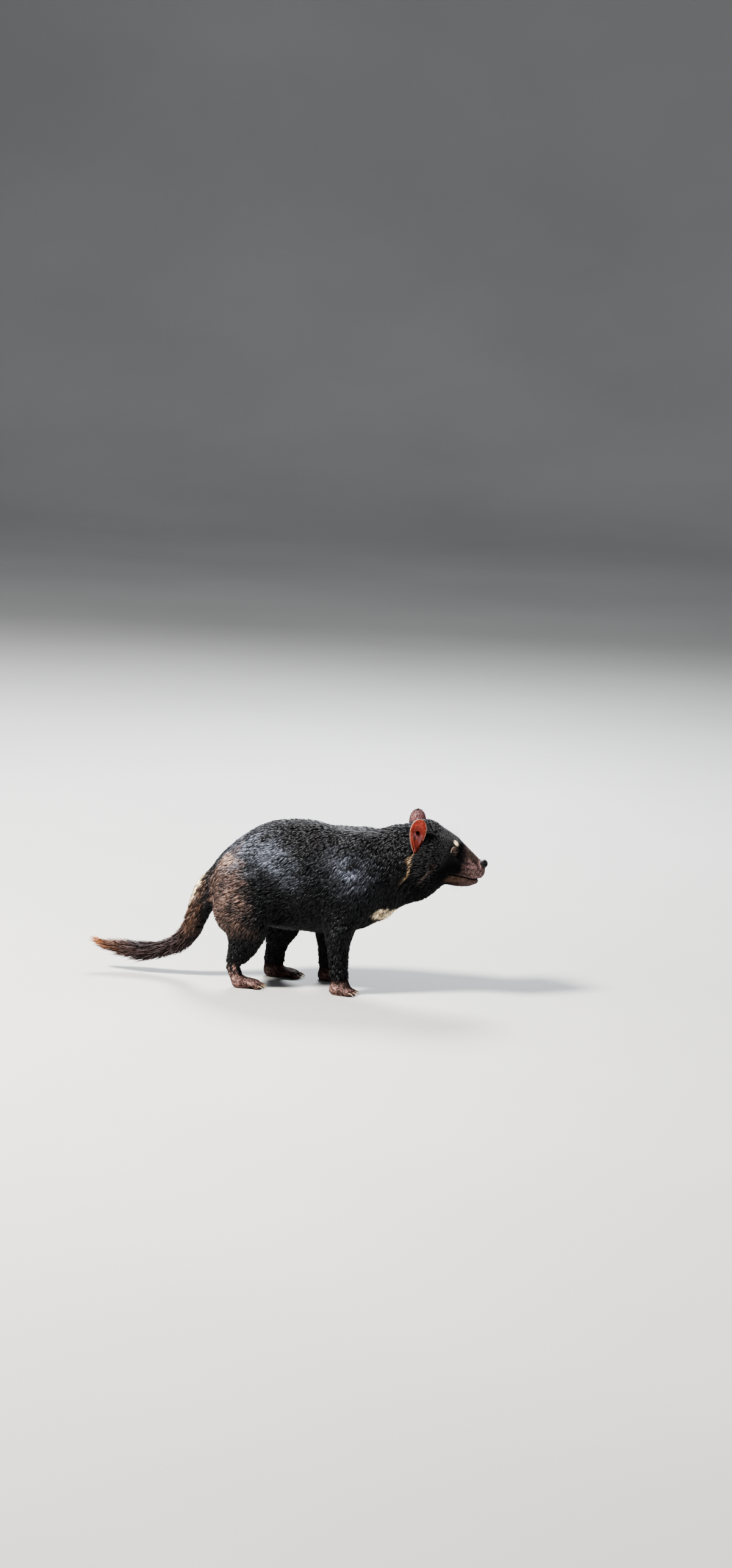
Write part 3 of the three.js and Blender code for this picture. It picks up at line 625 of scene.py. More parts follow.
def throat_form(p):
    """The full throat and dewlap, as a distance to sink the skin by."""
    x, y, z = unturned(p).T
    line = 172 + 0.5 * (x - 200)
    fill = 4 * bell(x - 185, 14) + 11 * bell(x - 199, 25) + 7 * bell(x - 245, 24)
    return -fill * smooth(z, line + 42, line + 6) * smooth(np.abs(y), 50, 18)


def foot_forms(p):
    """Knuckles and tendons on the feet, as a distance to sink the skin by."""
    return 0.35 * waves(p, 4.5, 9) * smooth(p[:, 2], 60, 30) * smooth(p[:, 2], 3, 8) * (p[:, 0] > -150)


def skin_field(p):
    """The flesh less the depth of the coat, with fine forms worked out only where they matter."""
    value = together(FLESH, p) + coat_depth(p)
    throat = (p[:, 0] > 140) & (p[:, 2] < 250)
    if throat.any():
        value[throat] += throat_form(p[throat])
    head = p[:, 0] > 262
    if head.any():
        value[head] += face_forms(p[head])
    ears = (p[:, 0] > 205) & (p[:, 0] < 268) & (p[:, 2] > 258)
    if ears.any():
        value[ears] = np.maximum(value[ears], -ear_clearance(p[ears]))
    if not head.all():
        value[~head] += body_forms(p[~head]) + foot_forms(p[~head])
    return value


def in_parts(value, p, size=16000):
    """Values of a field at many points, worked out by groups side by side."""
    if not len(p):
        return np.zeros(0)
    groups = [p[i : i + size] for i in range(0, len(p), size)]
    with ThreadPoolExecutor(4) as workers:
        return np.concatenate(list(workers.map(value, groups)))


# Four ways out from a point, to tell how steeply a field rises there
TETRA = np.array([[1, 1, 1], [1, -1, -1], [-1, 1, -1], [-1, -1, 1]]) / math.sqrt(3)


def slope(field, p, step=0.3):
    """The way in which a field rises fastest, as long as its rise is steep."""
    return sum(in_parts(field, p + way * step)[:, None] * way for way in TETRA) * 3 / (4 * step)


def settle(field, p, limit, rounds=2):
    """Moves points that are near the skin onto it."""
    p = p.copy()
    rise = slope(field, p)
    steep = np.maximum((rise**2).sum(1), 0.15)
    for _ in range(rounds):
        p -= rise * np.clip(in_parts(field, p) / steep, -limit, limit)[:, None]
    return p


# Surfaces from a field
GRID = 3.0
BLOCK = 5
HALF_DIAGONAL = 0.87  # of a block, next to its side
FORMS_REACH = 7  # the most that fine forms change the field by


def first_surface(field, low, high, step):
    """Closed surface of triangles, one point for each cell that the skin crosses."""
    blocks = np.ceil((high - low) / (step * BLOCK)).astype(int)
    middles = [(np.arange(n) + 0.5) * step * BLOCK for n in blocks]
    centres = np.stack(np.meshgrid(*middles, indexing="ij"), -1)
    value = in_parts(field, centres.reshape(-1, 3) + low).reshape(blocks)
    close = np.abs(value) < step * BLOCK * HALF_DIAGONAL + FORMS_REACH
    pad = [(0, 1)] * 3
    mask, values = close, np.where(value < 0, -FAR, FAR)
    for axis in range(3):
        mask, values = np.repeat(mask, BLOCK, axis), np.repeat(values, BLOCK, axis)
    mask, values = np.pad(mask, pad, mode="edge"), np.pad(values, pad, mode="edge")
    for axis in range(3):
        mask = mask | np.roll(mask, 1, axis)
    index = np.argwhere(mask)
    values[mask] = in_parts(field, low + index * step)

    corners = np.array([[c & 1, (c >> 1) & 1, c >> 2] for c in range(8)])
    inside = values < 0
    cut = [slice(0, -1), slice(1, None)]
    count = sum(inside[cut[a], cut[b], cut[c]].astype(int) for a, b, c in corners)
    cells = np.argwhere((count > 0) & (count < 8))
    at = values[tuple((cells[:, None] + corners).transpose(2, 0, 1))]
    total, crossings = np.zeros((len(cells), 3)), np.zeros((len(cells), 1))
    for i in range(8):
        for j in range(i + 1, 8):
            if np.abs(corners[i] - corners[j]).sum() != 1:
                continue
            crosses = ((at[:, i] < 0) != (at[:, j] < 0))[:, None]
            t = (at[:, i] / np.where(at[:, i] == at[:, j], 1, at[:, i] - at[:, j]))[:, None]
            total += np.where(crosses, corners[i] + t * (corners[j] - corners[i]), 0)
            crossings += crosses
    points = low + (cells + total / crossings) * step
    vertex_of = np.full(values.shape, -1)
    vertex_of[tuple(cells.T)] = np.arange(len(cells))

    quads = []
    for axis in range(3):
        a = np.moveaxis(inside, axis, 0)
        v = np.moveaxis(vertex_of, axis, 0)
        if axis == 1:
            a, v = a.swapaxes(1, 2), v.swapaxes(1, 2)
        i, j, k = np.nonzero(a[:-1, 1:, 1:] != a[1:, 1:, 1:])
        j, k = j + 1, k + 1
        ring = np.stack([v[i, j, k], v[i, j - 1, k], v[i, j - 1, k - 1], v[i, j, k - 1]], 1)
        quads.append(np.where(a[i, j, k][:, None], ring, ring[:, ::-1]))
    quads = np.concatenate(quads)
    return points, np.concatenate([quads[:, [0, 1, 2]], quads[:, [0, 2, 3]]])


# New triangles of one with 0 to 3 cut edges: the cuts, then corners (0 to 2) and middles of edges (3 to 5)
PIECES_OF_SPLIT = [
    (0, (0, 1, 2)),
    (1, (0, 3, 2)),
    (1, (3, 1, 2)),
    (2, (3, 1, 4)),
    (2, (0, 3, 4)),
    (2, (0, 4, 2)),
    (3, (0, 3, 5)),
    (3, (1, 4, 3)),
    (3, (2, 5, 4)),
    (3, (3, 4, 5)),
]


def refine(points, triangles, longest):
    """Splits every edge that is longer than its place allows, with no gaps between the new triangles."""
    pairs = np.sort(triangles[:, [[0, 1], [1, 2], [2, 0]]].reshape(-1, 2), axis=1)
    edges, edge_of = np.unique(pairs, axis=0, return_inverse=True)
    edge_of = edge_of.reshape(-1, 3)
    ends = points[edges]
    middle = ends.mean(1)
    split = np.linalg.norm(ends[:, 0] - ends[:, 1], axis=1) > longest(middle)
    new_id = np.cumsum(split) - 1 + len(points)
    marked = split[edge_of]
    count = marked.sum(1)
    turn = np.where(count == 1, marked.argmax(1), np.where(count == 2, (~marked).argmax(1) + 1, 0)) % 3
    order = (turn[:, None] + np.arange(3)) % 3
    corner = np.take_along_axis(triangles, order, 1)
    middle_id = np.take_along_axis(edge_of, order, 1)
    six = np.hstack([corner, new_id[middle_id]])
    made = [six[count == cuts][:, list(columns)] for cuts, columns in PIECES_OF_SPLIT]
    new = np.arange(len(points), len(points) + split.sum())
    return np.vstack([points, middle[split]]), np.concatenate(made), new


# Longest edges of the skin's mesh
EDGES = {"body": 4.6, "head": 2.6, "muzzle": 1.15, "feet": 1.9}


def longest_edge(p):
    q = unturned(p)
    out = np.full(len(p), EDGES["body"])
    out[q[:, 0] > 240] = EDGES["head"]
    out[q[:, 0] > 290] = EDGES["muzzle"]
    out[(p[:, 2] < 34) & (p[:, 0] > BEHIND_LEGS)] = EDGES["feet"]
    return out


SKIN_LOW = np.array([-362.0, -108, -16])
SKIN_HIGH = np.array([388.0, 110, 348])


def make_skin():
    """The skin as a mesh: its points, triangles and normals, finest on the muzzle and the feet."""
    points, triangles = first_surface(skin_field, SKIN_LOW, SKIN_HIGH, GRID)
    points = settle(skin_field, points, GRID / 2)
    for _ in range(3):
        points, triangles, new = refine(points, triangles, longest_edge)
        points[new] = settle(skin_field, points[new], 1.2, 2)
    way = unit(slope(skin_field, points))
    points[:, 2] = np.maximum(points[:, 2], 0)
    return points, triangles, way


# Markings and a painted sheen, as linear colours
def colour(red, green, blue):
    """Linear colour from 0 to 255 display values."""
    c = np.array([red, green, blue]) / 255
    return np.where(c <= 0.04045, c / 12.92, ((c + 0.055) / 1.055) ** 2.4)


BLACK = colour(25, 22, 22)
BACK_BLACK = colour(34, 30, 29)
PAINTED_SHEEN = colour(113, 117, 129)
RUMP_BROWN = colour(130, 104, 93)
RUMP_TAN = colour(178, 152, 136)
TAIL_BROWN = colour(106, 78, 62)
TAIL_DARK = colour(50, 33, 29)
TAIL_ORANGE = colour(190, 128, 82)
WHITE = colour(222, 206, 178)
FOOT_PINK = colour(172, 134, 124)
FOOT_DARK = colour(44, 33, 31)
MUZZLE = colour(104, 79, 77)
MUZZLE_PALE = colour(168, 138, 134)
JAW_TAN = colour(124, 100, 82)
BRIDGE = colour(70, 58, 48)
LID_PALE = colour(96, 84, 78)
NOSE_BLACK = colour(30, 26, 28)
CHIN = colour(84, 61, 58)
LIP = colour(52, 34, 32)
EAR_TAN = colour(160, 136, 110)


def spot(p, centre, size, edge=0.25):
    """1 inside an ellipsoid, falling to 0 past its edge."""
    return smooth(ellipsoid_reach(p, centre, size), 1 + edge, 1 - edge)


def paint(base, top, mask):
    """Colours drawn all the way to another where the mask is 1."""
    return base + (top - base) * np.clip(mask, 0, 1)[:, None]


def markings_and_painted_sheen(p):
    """Colour of the coat at each point of the skin, with a painted sheen over the hip, the ribs and the
    shoulder.
    """
    q = unturned(p)
    x, y, z = p.T
    wobble = waves(p, 9, 21)
    from_middle = np.abs(y)
    out = np.tile(BLACK, (len(p), 1)) * (1 + 0.18 * waves(p, 40, 22))[:, None]
    out = paint(out, BACK_BLACK, 0.8 * smooth(z, 240, 300) * smooth(x, 225, 190))
    # Painted highlight: a paler, bluish sheen over the hip, the ribs and the shoulder
    sheen = np.clip(ovals(x, z, SHEENS), 0, 1)
    out = paint(out, PAINTED_SHEEN, 0.8 * sheen * (0.7 + 0.5 * waves(p, 14, 24)))
    rump = smooth(x + 0.25 * (z - 190) + 7 * wobble, -52, -92) * smooth(z, 92, 128)
    rump = rump * smooth(from_middle, 16, 36)
    out = paint(out, RUMP_BROWN, 0.66 * rump * (0.7 + 0.45 * waves(p, 16, 23, 12)))
    tan = spot(p + 2 * wobble[:, None], (-110, 0, 240), (17, 90, 10), 0.5) * smooth(from_middle, 14, 30)
    out = paint(out, RUMP_TAN, 0.7 * tan)
    on_tail = smooth(-x + 0.15 * (z - 150), 150, 170)
    out = paint(out, TAIL_DARK, on_tail * smooth(z + 5 * wobble, 128, 74))
    out = paint(out, TAIL_BROWN, on_tail * smooth(z, 70, 112) * (0.6 + 0.35 * waves(p, 11, 26, 12)))
    out = paint(out, TAIL_ORANGE, 0.7 * smooth(-x + 8 * wobble, 332, 366))
    tail_root = spot(p + 2.5 * wobble[:, None], (-173, -3, 184), (18, 17, 39), 0.15)
    out = paint(out, WHITE, tail_root * smooth(-x + 0.55 * (z - 186), 158, 166))
    out = paint(out, WHITE, chest_mark(p, wobble))
    return np.clip(face_markings_and_mouth_shade(out, p, q, wobble), 0.002, 1)


def chest_mark(p, wobble):
    """A pale crescent across the chest, its horns running up towards the shoulders."""
    x, y, z = p.T
    line = 149 + 0.010 * (np.abs(y) - 4) ** 2 + 1.5 * wobble
    across = np.abs(z - line - 0.15 * (x - 160)) / (13 - 0.16 * np.abs(y))
    return smooth(across, 1.15, 0.8) * smooth(np.abs(y), 44, 36) * smooth(x, 132, 142)


def face_markings_and_mouth_shade(out, p, q, wobble):
    x, y, z = q.T
    fine = waves(p, 3.2, 31, 18)
    start = x - 0.22 * (z - 244) + 3 * wobble + 2 * fine
    bridge = smooth(z - 0.55 * (330 - x), 258, 268)
    bare = smooth(start, 314, 330)
    out = paint(out, MUZZLE, bare * (0.8 + 0.2 * fine))
    out = paint(out, MUZZLE_PALE, 0.5 * bare * np.clip(0.25 + waves(p, 2.4, 32, 18), 0, 1))
    out = paint(out, BRIDGE, 0.85 * bare * bridge * smooth(x, 358, 340))
    out = paint(out, BLACK, 0.7 * bare * smooth(waves(p, 4.0, 33, 18), 0.3, 0.8))
    out = paint(out, MUZZLE_PALE, 0.6 * bare * (1 - bridge) * smooth(waves(p, 1.7, 34, 18), 0.7, 1.0))
    out = paint(out, CHIN, 0.8 * smooth(z, 229, 222) * smooth(x, 296, 310))
    jaw = spot(q, (308, 0, 227), (24, 60, 8.5), 0.3) * smooth(np.abs(y), 12, 20)
    out = paint(out, JAW_TAN, jaw * (0.7 + 0.2 * fine))
    out = paint(out, NOSE_BLACK, smooth(nose_edge(q) + 0.8 * wobble, 1.6, -0.4))
    mouth = np.abs(mouth_height(q) + 0.3 * fine)
    out = paint(out, LIP, 0.6 * smooth(mouth, 3.6, 1.6) * smooth(x, MOUTH_CORNER_X - 4, MOUTH_CORNER_X + 8))
    # Black along the groove between the dark lips: painted shade in the crease
    out = paint(out, BLACK, smooth(mouth, 1.7, 0.5) * smooth(x, MOUTH_CORNER_X - 2, MOUTH_CORNER_X + 4))
    for side in SIDES.values():
        ring, _ = eye_places(p, side)
        out = paint(out, LID_PALE, bell(ring - 1.42, 0.2) * (0.85 + 0.2 * fine))
        out = paint(out, BLACK, smooth(ring, 1.12, 1.0))
        brow = mirrored(BROW_SPOT, side)
        leaning = q + 0.3 * (z - brow[2])[:, None] * [1, 0, 0]
        out = paint(out, WHITE, 0.85 * spot(leaning, brow, (3.4, 6, 5.6), 0.3))
        out = paint(out, CHIN, 0.8 * spot(q, (268, side * 50, 251), (7, 14, 7), 0.5))
        out = paint(out, EAR_TAN, ear_strip(q, side))
    return out


def ear_strip(q, side):
    """The pale strip of hair that runs down from behind each ear."""
    line = np.array([mirrored(point, side) for point in EAR_STRIP])
    leg, share, gap = nearest_leg(q, line)
    place = (leg + share) / (len(line) - 1)
    return smooth(gap, 6.0 - 3.0 * place, 2.4 - 1.4 * place) * (1 - 0.5 * smooth(place, 0.6, 1))


def bare_skin(p):
    """Where hair is so sparse that the skin shows: feet and muzzle."""
    q = unturned(p)
    uneven = 5 * waves(p, 10, 44)
    foot = 0.85 * smooth(p[:, 2] + uneven, 42, 12) * (p[:, 0] > BEHIND_LEGS) * (p[:, 0] < 175)
    hock = smooth(p[:, 2] + uneven, 66, 46) * smooth(-p[:, 0], 76, 88) * (p[:, 0] > -130) * (p[:, 1] < 0)
    muzzle = smooth(q[:, 0], 306, 328)
    return np.maximum(np.maximum(foot, hock), muzzle)


def skin_colours(p):
    out = markings_and_painted_sheen(p)
    q = unturned(p)
    bare = bare_skin(p)
    # Skin under the hair is darkened, as painted shade under the coat; bare skin and the front of the face
    # keep their colour
    out = out * (0.55 + 0.45 * np.maximum(bare, smooth(q[:, 0], 290, 310)))[:, None]
    foot = bare * (q[:, 0] < 250)
    # The feet on the animal's left, the far side, get less pink: painted shade
    out = paint(out, FOOT_PINK, foot * (0.8 + 0.25 * waves(p, 7, 41)) * (1 - 0.4 * (p[:, 1] > 0)))
    return paint(out, FOOT_DARK, 0.85 * foot * smooth(waves(p, 5, 42) + 0.5 * waves(p, 2.2, 43), 0.05, 0.8))


def wet_skin(p):
    """1 where the skin is damp and shines: the nose, the lips and round the eyes."""
    q = unturned(p)
    wet = smooth(nose_edge(q), 1.0, -0.5)
    wet = np.maximum(wet, 0.7 * smooth(np.abs(mouth_height(q)), 2.4, 1) * smooth(q[:, 0], 292, 298))
    for side in SIDES.values():
        ring, _ = eye_places(p, side)
        wet = np.maximum(wet, smooth(ring, 1.2, 1.0))
    return wet


# Meshes
def mesh_object(name, points, triangles, finish, tints=None, extra=None, uvs=None):
    mesh = bpy.data.meshes.new(name)
    mesh.vertices.add(len(points))
    mesh.vertices.foreach_set("co", to_frame(points).astype(np.float32).ravel())
    mesh.loops.add(triangles.size)
    mesh.loops.foreach_set("vertex_index", triangles.astype(np.int32).ravel())
    mesh.polygons.add(len(triangles))
    mesh.polygons.foreach_set("loop_start", np.arange(0, triangles.size, 3, dtype=np.int32))
    mesh.polygons.foreach_set("use_smooth", np.ones(len(triangles), bool))
    if tints is not None:
        layer = mesh.attributes.new("tint", "FLOAT_COLOR", "POINT")
        rgba = np.ones((len(points), 4), np.float32)
        rgba[:, :3] = tints
        layer.data.foreach_set("color", rgba.ravel())
    for key, values in (extra or {}).items():
        kind, field = ("FLOAT_VECTOR", "vector") if np.ndim(values) > 1 else ("FLOAT", "value")
        layer = mesh.attributes.new(key, kind, "POINT")
        layer.data.foreach_set(field, np.asarray(values, np.float32).ravel())
    if uvs is not None:
        mesh.uv_layers.new(name="OFBake").data.foreach_set("uv", uvs.astype(np.float32).ravel())
    mesh.update(calc_edges=True)
    mesh.materials.append(finish)
    piece = bpy.data.objects.new(name, mesh)
    bpy.context.scene.collection.objects.link(piece)
    return piece


# Materials
def feed(tree, n, inputs):
    """Sets inputs of a node, each to a value or to the output of another node."""
    for key, value in inputs.items():
        if isinstance(value, bpy.types.NodeSocket):
            tree.links.new(value, n.inputs[key])
        else:
            n.inputs[key].default_value = value


def material(name, **values):
    made = bpy.data.materials.new(name)
    made.use_nodes = True
    tree = made.node_tree
    shader = tree.nodes["Principled BSDF"]
    feed(tree, shader, {key.replace("_", " "): value for key, value in values.items()})
    return made, tree, shader


def node(tree, kind, inputs, output=0, **settings):
    """Output of a new node."""
    n = tree.nodes.new(kind)
    for key, value in settings.items():
        setattr(n, key, value)
    feed(tree, n, inputs)
    return n.outputs[output]


def tinted(tree, factor):
    """The mesh's own colour times a factor."""
    tint = attribute(tree, "tint", "Color")
    return node(tree, "ShaderNodeVectorMath", {0: tint, "Scale": factor}, operation="SCALE")


def ranged(tree, value, to_low, to_high, low=0.3, high=0.7):
    """A value moved to another range; most noise lies between 0.3 and 0.7."""
    limits = {"From Min": low, "From Max": high, "To Min": to_low, "To Max": to_high}
    return node(tree, "ShaderNodeMapRange", {"Value": value} | limits)


def noise(tree, vector, scale, detail=3.0):
    inputs = {"Vector": vector, "Scale": scale, "Detail": detail, "Roughness": 0.55}
    return node(tree, "ShaderNodeTexNoise", inputs, "Fac")


def object_place(tree):
    return node(tree, "ShaderNodeTexCoord", {}, "Object")


def attribute(tree, name, output):
    return node(tree, "ShaderNodeAttribute", {}, output, attribute_name=name)


def combined(tree, operation, first, second):
    return node(tree, "ShaderNodeMath", {0: first, 1: second}, operation=operation)


def relief(tree, strength, distance, height, over=None):
    """Normals of a relief, over another one if it is given."""
    below = {"Normal": over} if over else {}
    inputs = {"Strength": strength, "Distance": distance, "Height": height}
    return node(tree, "ShaderNodeBump", inputs | below)


def coat_material(name, roughness, shine=0.55, strands=1.0):
    """Streaks along the strands of each tuft, and patches over the coat."""
    blue = (0.86, 0.93, 1.0, 1)
    made, tree, shader = material(name, IOR=1.55, Specular_IOR_Level=shine, Specular_Tint=blue)
    streaks = noise(tree, attribute(tree, "strand", "Vector"), 9.0 * strands, 2.0)
    patchy = noise(tree, object_place(tree), 55.0, 2.0)
    shade = combined(tree, "MULTIPLY", ranged(tree, streaks, 0.6, 1.5), ranged(tree, patchy, 0.8, 1.2))
    rough = ranged(tree, streaks, roughness + 0.1, roughness - 0.08)
    normal = relief(tree, 0.5, 0.0004, streaks)
    feed(tree, shader, {"Base Color": tinted(tree, shade), "Roughness": rough, "Normal": normal})
    return made


def skin_material():
    """Pores, a fine net of creases and larger blotches, shinier where the skin is wet."""
    depth = {"Subsurface_Radius": (0.004, 0.002, 0.001), "Subsurface_Scale": 0.6}
    made, tree, shader = material("skin", IOR=1.45, Subsurface_Weight=0.06, **depth)
    place = object_place(tree)
    pores = noise(tree, place, 900.0)
    blotch = noise(tree, place, 140.0)
    creases = {"Vector": place, "Scale": 620.0, "Randomness": 1.0}
    cells = node(tree, "ShaderNodeTexVoronoi", creases, "Distance")
    shade = combined(tree, "MULTIPLY", ranged(tree, blotch, 0.72, 1.25), ranged(tree, pores, 0.85, 1.15))
    wet = ranged(tree, attribute(tree, "wet", "Fac"), 0.0, 0.4, 0.0, 1.0)
    rough = combined(tree, "SUBTRACT", ranged(tree, pores, 0.85, 0.68), wet)
    normal = relief(tree, 0.5, 0.0006, blotch, relief(tree, 0.5, 0.0004, cells))
    feed(tree, shader, {"Base Color": tinted(tree, shade), "Roughness": rough, "Normal": normal})
    return made


def grained_material(name, grain, tones, roughness, bump=None, rough_grain=None, **values):
    """Colour, roughness and relief that vary with the grain of the surface; a grain is scale and detail."""
    made, tree, shader = material(name, **values)
    place = object_place(tree)
    height = noise(tree, place, *grain)
    fine = noise(tree, place, *rough_grain) if rough_grain else height
    tone = tinted(tree, ranged(tree, height, *tones))
    feed(tree, shader, {"Base Color": tone, "Roughness": ranged(tree, fine, *roughness)})
    if bump:
        feed(tree, shader, {"Normal": relief(tree, *bump, height)})
    return made


# The lie, length and density of the coat
DOWNWARD = {"x": [-150, -110, -40, 40, 120, 190], "slope": [0.3, 0.36, 0.55, 0.95, 1.35, 2.0]}
FOOT_LIE = np.array([1, 0, -0.3])
LEG_LIE = np.array([-0.16, 0, -1])
PARTING = [376, 0, 236]  # the point just before the nose that the hair of the head leads away from
LENGTHS = {"body": 10.5, "leg": 6.5, "foot": 2.6, "head": 5.4, "tail": 17}


def tail_line(parts):
    """Middle line of the tail from its root to its tip."""
    return np.vstack([through_rows(TAIL, parts)[:, :3], through_rows(TAIL_CORE, parts)[parts:, :3]])


def lie_of(p, normal):
    """Unit vectors along the skin, the way that the hair points."""
    x, y, z = p.T
    upward = normal[:, 2]
    flank = smooth(np.abs(normal[:, 1]), 0.1, 0.7) * smooth(-upward, 0.9, 0.4)
    down = np.interp(x, DOWNWARD["x"], DOWNWARD["slope"]) * flank
    way = np.stack([-np.ones(len(p)), np.zeros(len(p)), -down], 1)
    way[:, 1] += 0.35 * np.sign(y) * smooth(upward, 0.5, 0.95) * smooth(np.abs(y), 0, 25)
    before_tail = x > BEHIND_LEGS
    way = mix(way, LEG_LIE, (smooth(z, 150, 96) * before_tail)[:, None])
    way = mix(way, FOOT_LIE, (smooth(z, 30, 14) * before_tail)[:, None])
    line = tail_line(3)
    leg, _, _ = nearest_leg(p, line)
    way = mix(way, unit(np.diff(line, axis=0))[leg], smooth(-x + 0.5 * (z - 150), 138, 168)[:, None])
    from_nose = unit(p - turned(PARTING))
    from_nose[:, 2] -= 0.25 * smooth(-upward, -0.2, 0.6)
    way = mix(unit(way), from_nose, smooth(unturned(p)[:, 0], 212, 250)[:, None])
    swirl = 0.16 * waves(p, 12, 51)
    way += swirl[:, None] * np.cross(normal, way)
    return unit(way - normal * (way * normal).sum(1)[:, None])


def hair_length(p):
    ahead = unturned(p)[:, 0]
    x, z = p[:, 0], p[:, 2]
    before_tail = x > BEHIND_LEGS
    length = mix(LENGTHS["body"], LENGTHS["leg"], smooth(z, 120, 70) * before_tail)
    length = mix(length, LENGTHS["foot"], smooth(z, 44, 22) * before_tail)
    on_face = LENGTHS["head"] - 1.8 * smooth(ahead, 270, 305) - 1.5 * smooth(ahead, 310, 335)
    length = mix(length, on_face, smooth(ahead, 218, 262))
    length = mix(length, LENGTHS["tail"], smooth(-x, 170, 215))
    return np.minimum(length, room_for_hair(p))


def hair_share(p):
    """How thickly the hair grows, 0 to 1."""
    q = unturned(p)
    bare = bare_skin(p)
    share = 1 - np.where(q[:, 0] > 250, 0.72, 0.6) * bare
    share *= 1 - smooth(nose_edge(q), 2.5, 0.5)
    for side in SIDES.values():
        ring, _ = eye_places(p, side)
        share *= smooth(ring, 1.45, 1.9)
    mouth = np.abs(mouth_height(q))
    share *= 1 - smooth(mouth, 3.4, 2.2) * smooth(q[:, 0], MOUTH_CORNER_X, MOUTH_CORNER_X + 4)
    share *= smooth(p[:, 2], 2, 6) * (1 - 0.8 * smooth(q[:, 0], 336, 346))
    share *= np.maximum(smooth(ear_clearance(p), 0.4, 1.8), clear_of_ears(p))
    return share


def scattered(points, triangles, way, per_mm2):
    """Roots spread over the skin: their places and normals."""
    a, b, c = (points[triangles[:, k]] for k in range(3))
    area = np.linalg.norm(np.cross(b - a, c - a), axis=1) / 2
    wanted = area * per_mm2((a + b + c) / 3)
    number = np.floor(wanted + random.random(len(wanted))).astype(int)
    chosen = np.repeat(np.arange(len(triangles)), number)
    u, v = random.random((2, len(chosen)))
    over = u + v > 1
    u[over], v[over] = 1 - u[over], 1 - v[over]
    weights = np.stack([1 - u - v, u, v], 1)[:, :, None]
    corners = triangles[chosen]
    return (points[corners] * weights).sum(1), unit((way[corners] * weights).sum(1))


# Tufts: rings of three points that end in one, as (place along, width, thickness)
LONG_TUFT = [(0, 0.55, 0.8), (0.42, 1.0, 1.0)]
SHORT_TUFT = [(0, 1.0, 1.0)]
TAIL_TUFT = [(0, 0.5, 0.8), (0.3, 1.0, 1.0), (0.66, 0.8, 0.7)]
MOST_TRIANGLES = 195000  # in one piece of the coat
STRANDS_APART = 40  # so that no two tufts have the same streaks
PATCH = 0.003  # size of each tuft on the unwrapped skin
EDGE, SPAN = 0.02, 0.96  # margin of the unwrap and what it leaves
BACKBONE = {"x": [-150, -25, 80, 165, 250, 352], "z": [170, 205, 205, 233, 258, 246]}


def tuft_faces(rings):
    """Triangles of one tuft, and the place of every corner on its patch."""
    faces, places = [], []
    steps = len(rings)
    for r in range(steps):
        low, high = r / steps, (r + 1) / steps
        for s in range(3):
            t = (s + 1) % 3
            a, b, c, d = 3 * r + s, 3 * r + t, 3 * r + 3 + t, 3 * r + 3 + s
            at_a, at_b, at_c, at_d = (s / 3, low), ((s + 1) / 3, low), ((s + 1) / 3, high), (s / 3, high)
            if r < steps - 1:
                faces += [(a, b, c), (a, c, d)]
                places += [(at_a, at_b, at_c), (at_a, at_c, at_d)]
            else:
                faces.append((a, b, 3 * steps))
                places.append((at_a, at_b, ((s + 0.5) / 3, high)))
    faces.append((0, 2, 1))
    places.append(((0.2, -0.02), (0.5, -0.3), (0.8, -0.02)))
    return np.array(faces), np.array(places, float)


def turn_share(y, z):
    """Angle round an axis as a share of a full turn, 0 to 1."""
    return np.arctan2(y, z) / (2 * math.pi) + 0.5


def unwrapped(p):
    """Places on an unwrap of the skin: a strip for body and head, one for the tail and one for each leg."""
    x, y, z = p.T
    u = EDGE + 0.46 * turn_share(y, np.interp(x, BACKBONE["x"], BACKBONE["z"]) - z)
    v = EDGE + SPAN * (x + 180) / 570
    on_tail = x < -168
    line = tail_line(2)
    leg, share, _ = nearest_leg(p, line)
    u = np.where(on_tail, 0.52 + 0.12 * turn_share(y - line[leg, 1], z - line[leg, 2]), u)
    v = np.where(on_tail, EDGE + SPAN * (leg + share) / (len(line) - 1), v)
    lower = (z < 130) & (x > -150) & (x < 170)
    for k, (name, part) in enumerate(LEG_PARTS.items()):
        centre = (part.low + part.high) / 2
        mine = lower & ((y > 0) == (centre[1] > 0)) & ((x > 25) == name.startswith("fore"))
        u = np.where(mine, 0.66 + 0.08 * k + 0.07 * turn_share(y - centre[1], x - centre[0]), u)
        v = np.where(mine, EDGE + SPAN * z / 130, v)
    return np.stack([u, v], 1)


Hair = namedtuple("Hair", "root normal way length width height")


